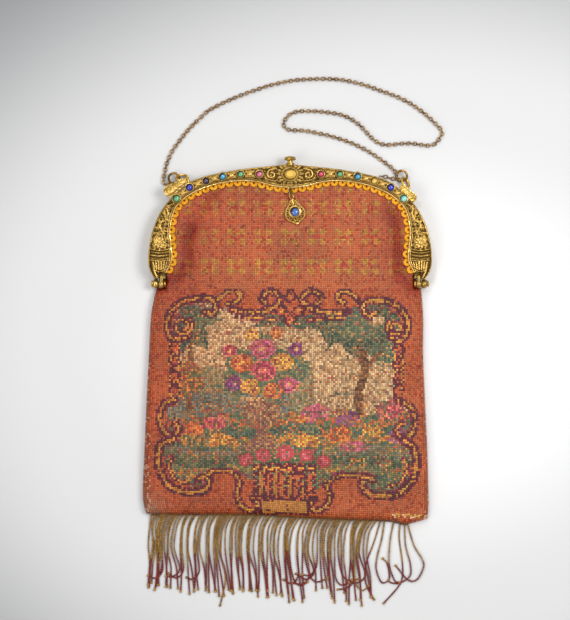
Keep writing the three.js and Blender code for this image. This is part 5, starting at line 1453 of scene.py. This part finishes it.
def painted_foil_light(gem, x, y, radius):
    # Painted foil light: how bright each point of a stone is painted, as if lit back through by its foil;
    # most at its top and lower right.
    points = points_of(gem.data) / MM
    glow = (0.45 * (points[:, 0] - x) - 0.55 * (points[:, 1] - y)) / radius + 0.29 * (points[:, 2] - SEAT)
    gem.data.attributes.new("painted_foil_light", "FLOAT", "POINT").data.foreach_set("value", glow.astype(np.float32))


for side, sign in (("left", -1), ("right", 1)):
    for number, (x, y, radius) in enumerate(stone_at):
        node_name = f"stone_{side}_{number + 1}"
        dome_profile = [(0, SEAT), (radius * 0.96, SEAT), (radius, SEAT + 0.25), (radius, SEAT + 0.7)]
        dome_profile += [(radius * math.cos(a), SEAT + 0.7 + 1.7 * math.sin(a)) for a in DOME_ANGLES]
        gem = turned(f"{node_name}_cabochon", dome_profile, 28, (x * sign, y, 0))
        painted_foil_light(gem, x * sign, y, radius)
        slot = f"{COLOURS[side][number]}_paste"
        gem.data.materials.append(pale_teal if (side, number) == ("right", 5) else pastes[slot])
        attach(gem, "purse")
        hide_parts(node_name)

# The middle stone's cut: radius as a share of its own, and height above its seat
CUT = [(0, 0), (0.9, 0), (1, 0.7), (1, 0.95), (0.86, 2.0), (0.6, 3.0), (0.56, 3.4), (0, 3.4)]
MIDDLE_RADIUS = 4.35
cut = [(share * MIDDLE_RADIUS, SEAT + height) for share, height in CUT]
middle_stone = turned("centre_stone_cut", cut, 16, (0, centre_y, 0), squeeze=(1, 0.76))
smooth_all(middle_stone, 5)
painted_foil_light(middle_stone, 0, centre_y, MIDDLE_RADIUS)
middle_stone.data.materials.append(pastes["citrine_paste"])
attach(middle_stone, "purse")
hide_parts("centre_stone")

# The pendant drop: pierced and built up of wire scrolls, with a blue cabochon, hung by round links.
# It is soldered from brass wire round a turned setting and gilt.
LEAN = math.radians(12)
BAIL = (3 * 0.35, EYE_Y - 3 * 1.9)
DROP = (BAIL[0] + math.sin(LEAN) * 10.4, BAIL[1] - math.cos(LEAN) * 10.4)
DROP_OUTLINE = [(0.08, 0.5), (0.3, 0.41), (0.46, 0.31), (0.68, 0.2), (0.9, 0.08), (1, -0.05), (0.97, -0.17),
                (0.8, -0.28), (0.52, -0.36), (0.24, -0.43), (0.08, -0.5)]
right_side = [(w * 6.8, h * 17.6) for w, h in DROP_OUTLINE]
around = right_side + [(-x, y) for x, y in right_side[::-1]]
edge_line = smooth_line(around + around[:1], 6)
drop_parts = [wire("drop_edge", [(x * 0.95, y * 0.96, 11.7) for x, y in edge_line[:-1]], 0.5, closed=True)]
for k in range(10):
    angle = k * 2 * math.pi / 10 + 0.2
    curl = torus(1.05, 0.33, 16, 6)
    curl.data.transform(shift(5.0 * math.cos(angle), 5.0 * math.sin(angle), 11.85))
    smooth_all(curl)
    drop_parts.append(curl)
for sign in (-1, 1):
    for turns_at, size, level in [((1.9 * sign, 6.3), 1.2, 11.9), ((1.6 * sign, -5.9), 1.1, 11.9)]:
        coil = []
        for t in np.linspace(0, 1, 20):
            reach = size * (1 - 0.5 * t)
            coil.append((turns_at[0] + sign * reach * math.cos(5.2 * t + 1.2),
                         turns_at[1] + reach * math.sin(5.2 * t + 1.2), level))
        drop_parts.append(wire("drop_scroll", coil, 0.36))
tip = turned("drop_tip", [(0, -1.0), (0.7, -0.7), (1.0, 0), (0.7, 0.7), (0, 1.0)], 16, (0, -8.0, 12.0), "Z")
crown_leaf = wire("drop_crown", [(0, 5.0, 12.0), (0, 7.4, 12.3), (0, 8.6, 12.4)], 0.9, sides=12)
setting_profile = [(0, 12.0), (3.2, 12.0), (3.22, 13.6), (3.4, 13.9), (3.7, 13.8), (3.85, 13.2),
                   (3.85, 12.6), (4.3, 12.4), (4.3, 11.05), (0, 11.05)]
drop_parts += [tip, crown_leaf, turned("drop_setting", setting_profile, 40)]
drop_parts.append(grain_ring("drop_grains", 20, (4.15, 4.15), (0, 0, 12.75), 0.42))
bail = torus(1.6, 0.42, 24, 8)
bail.data.transform(shift(0, 10.4, EYE_LEVEL) @ Matrix.Rotation(-LINK_TURN, 4, "Y"))
smooth_all(bail)
drop_parts.append(bail)
drop = join(drop_parts, "pendant_drop")
drop.data.transform(shift(*DROP, 0) @ Matrix.Rotation(LEAN, 4, "Z"))
smooth_all(drop, 60)
drop.data.materials.clear()
drop.data.materials.append(gilt("pendant gilt brass", "#6a4e18", "#b8903c", "#ecc878", 0.26, level=0.6))
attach(drop, "purse")
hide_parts("pendant")

cabochon = [(0, 12.5), (2.5, 12.5), (2.95, 13.1)]
cabochon += [(2.95 * math.cos(a), 13.1 + 2.0 * math.sin(a)) for a in np.linspace(0.12, math.pi / 2, 9)]
drop_stone = turned("pendant_cabochon", cabochon, 36, (*DROP, 0))
painted_foil_light(drop_stone, *DROP, 2.95)
drop_stone.data.materials.append(paste("sapphire paste", "#0c1538", "#4a6cb4"))
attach(drop_stone, "purse")
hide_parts("pendant_stone")
for number in (1, 2):
    link = torus(1.6, 0.42, 24, 8)
    turn = LINK_TURN if number % 2 == 0 else -LINK_TURN
    link.data.transform(shift(number * 0.35, EYE_Y - number * 1.9, EYE_LEVEL) @ Matrix.Rotation(turn, 4, "Y"))
    link.name = f"pendant_link_{number}_wire"
    smooth_all(link)
    link.data.materials.append(plain_gilt)
    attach(link, "purse")
    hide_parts(f"pendant_link_{number}")

# The rings in the shoulder loops, of heavy drawn wire, each bent round and soldered shut through
# its loop. Their gilding has darkened.
dark_gilt = gilt("dark gilt wire", "#3a2a12", "#74561f", "#b98f45", 0.3)
for side, (middle, towards, _) in LUGS.items():
    way = np.array([math.cos(math.radians(towards)), math.sin(math.radians(towards))])
    at = arch_place(*middle) + way * (3.65 + 1.6)
    hoop = torus(3.65, 0.8, 40, 12)
    hoop.data.transform(shift(*at, LUG_LEVEL) @ turn_by(towards, "Z") @ turn_by(-22, "X"))
    hoop.name = f"chain_ring_{side}_wire"
    smooth_all(hoop)
    hoop.data.materials.append(dark_gilt)
    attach(hoop, "purse")
    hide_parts(f"chain_ring_{side}")

# The chain: oval links of brown bronze wire, each turned a quarter from the last so that they
# interlock, lying where it fell. Its short free end hangs from the right ring.
LINK_PITCH = 2.2
LINK_RADIUS, LINK_WIRE, LINK_OVAL = 1.16, 0.335, 1.25
CHAIN_ROUTE = [
    (-80.0, 109.6), (-83.6, 108.2), (-85.9, 111.5), (-84.8, 116.6), (-83.2, 123.5), (-79.4, 131.8),
    (-74.5, 138.6), (-69, 145.5), (-62.8, 151.7), (-56, 158), (-48.3, 162.4), (-40.1, 166.2),
    (-31.8, 169.6), (-22.9, 172.7), (-14.6, 175.5), (-5.7, 177.6), (3.3, 179.2), (16.7, 180.1),
    (25.8, 180.1), (34.8, 179.5), (43.7, 177.8), (52.7, 175.3), (61, 172.3), (69.9, 169.1),
    (78.1, 165.4), (85.5, 160.9), (92.8, 155.2), (99.4, 149), (103, 144.4), (101.6, 140.6),
    (99.2, 137), (95.6, 135.2), (91, 135.2), (84.6, 136.2), (76.5, 136.4), (68.3, 135.5),
    (63.8, 135.6), (59.3, 137.2), (55.2, 140.4), (50.3, 145.7), (47, 149), (42.9, 152.1),
    (38, 154.6), (33.1, 156.2), (24.1, 157.6), (15.1, 158.3), (5.7, 158.1), (0.9, 156.6),
    (-2.4, 153.8), (-4.3, 150), (-2.8, 146.8), (1.4, 145.4), (10.2, 145), (19.2, 143.3),
    (28.2, 141.2), (36.8, 138.5), (45.4, 135.1), (53.6, 130.8), (61, 125.9), (66.2, 122.1), (70.0, 119.0),
    (72.3, 115.5),
]
TAIL_ROUTE = [(72.5, 112.7), (69.2, 112.6), (65.4, 113.7), (62.2, 114.2)]
link_draw = np.random.default_rng(5)


def chain_of(route, name, stands_for):
    line = smooth_line(route, 20)
    length = np.linalg.norm(np.diff(line, axis=0), axis=1).sum()
    count = 2 * round((length / LINK_PITCH - 1) / 2) + 1
    at = evenly(line, np.linspace(0, 1, count))
    ways = np.gradient(at, axis=0)
    matrices = []
    for k, ((x, y), (way_x, way_y)) in enumerate(zip(at, ways)):
        at_ring = k == 0 or (k == count - 1 and stands_for == "chain")
        roll = (90 if k % 2 == 0 else 0) + (0 if at_ring else link_draw.uniform(-14, 14))
        matrices.append(shift(x, y, 2.1 if at_ring else 1.5)
                        @ Matrix.Rotation(math.atan2(way_y, way_x), 4, "Z") @ turn_by(roll, "X"))
    links = many(torus(LINK_RADIUS, LINK_WIRE, 16, 6, (LINK_OVAL, 1, 1)), matrices, name)
    smooth_all(links)
    links.data.materials.append(bronze)
    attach(links, "purse")
    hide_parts(stands_for)


bronze = gilt("brown bronze wire", "#453018", "#856238", "#bf9a62", 0.33)
chain_of(CHAIN_ROUTE, "chain_links", "chain")
chain_of(TAIL_ROUTE, "chain_tail_links", "chain_tail")
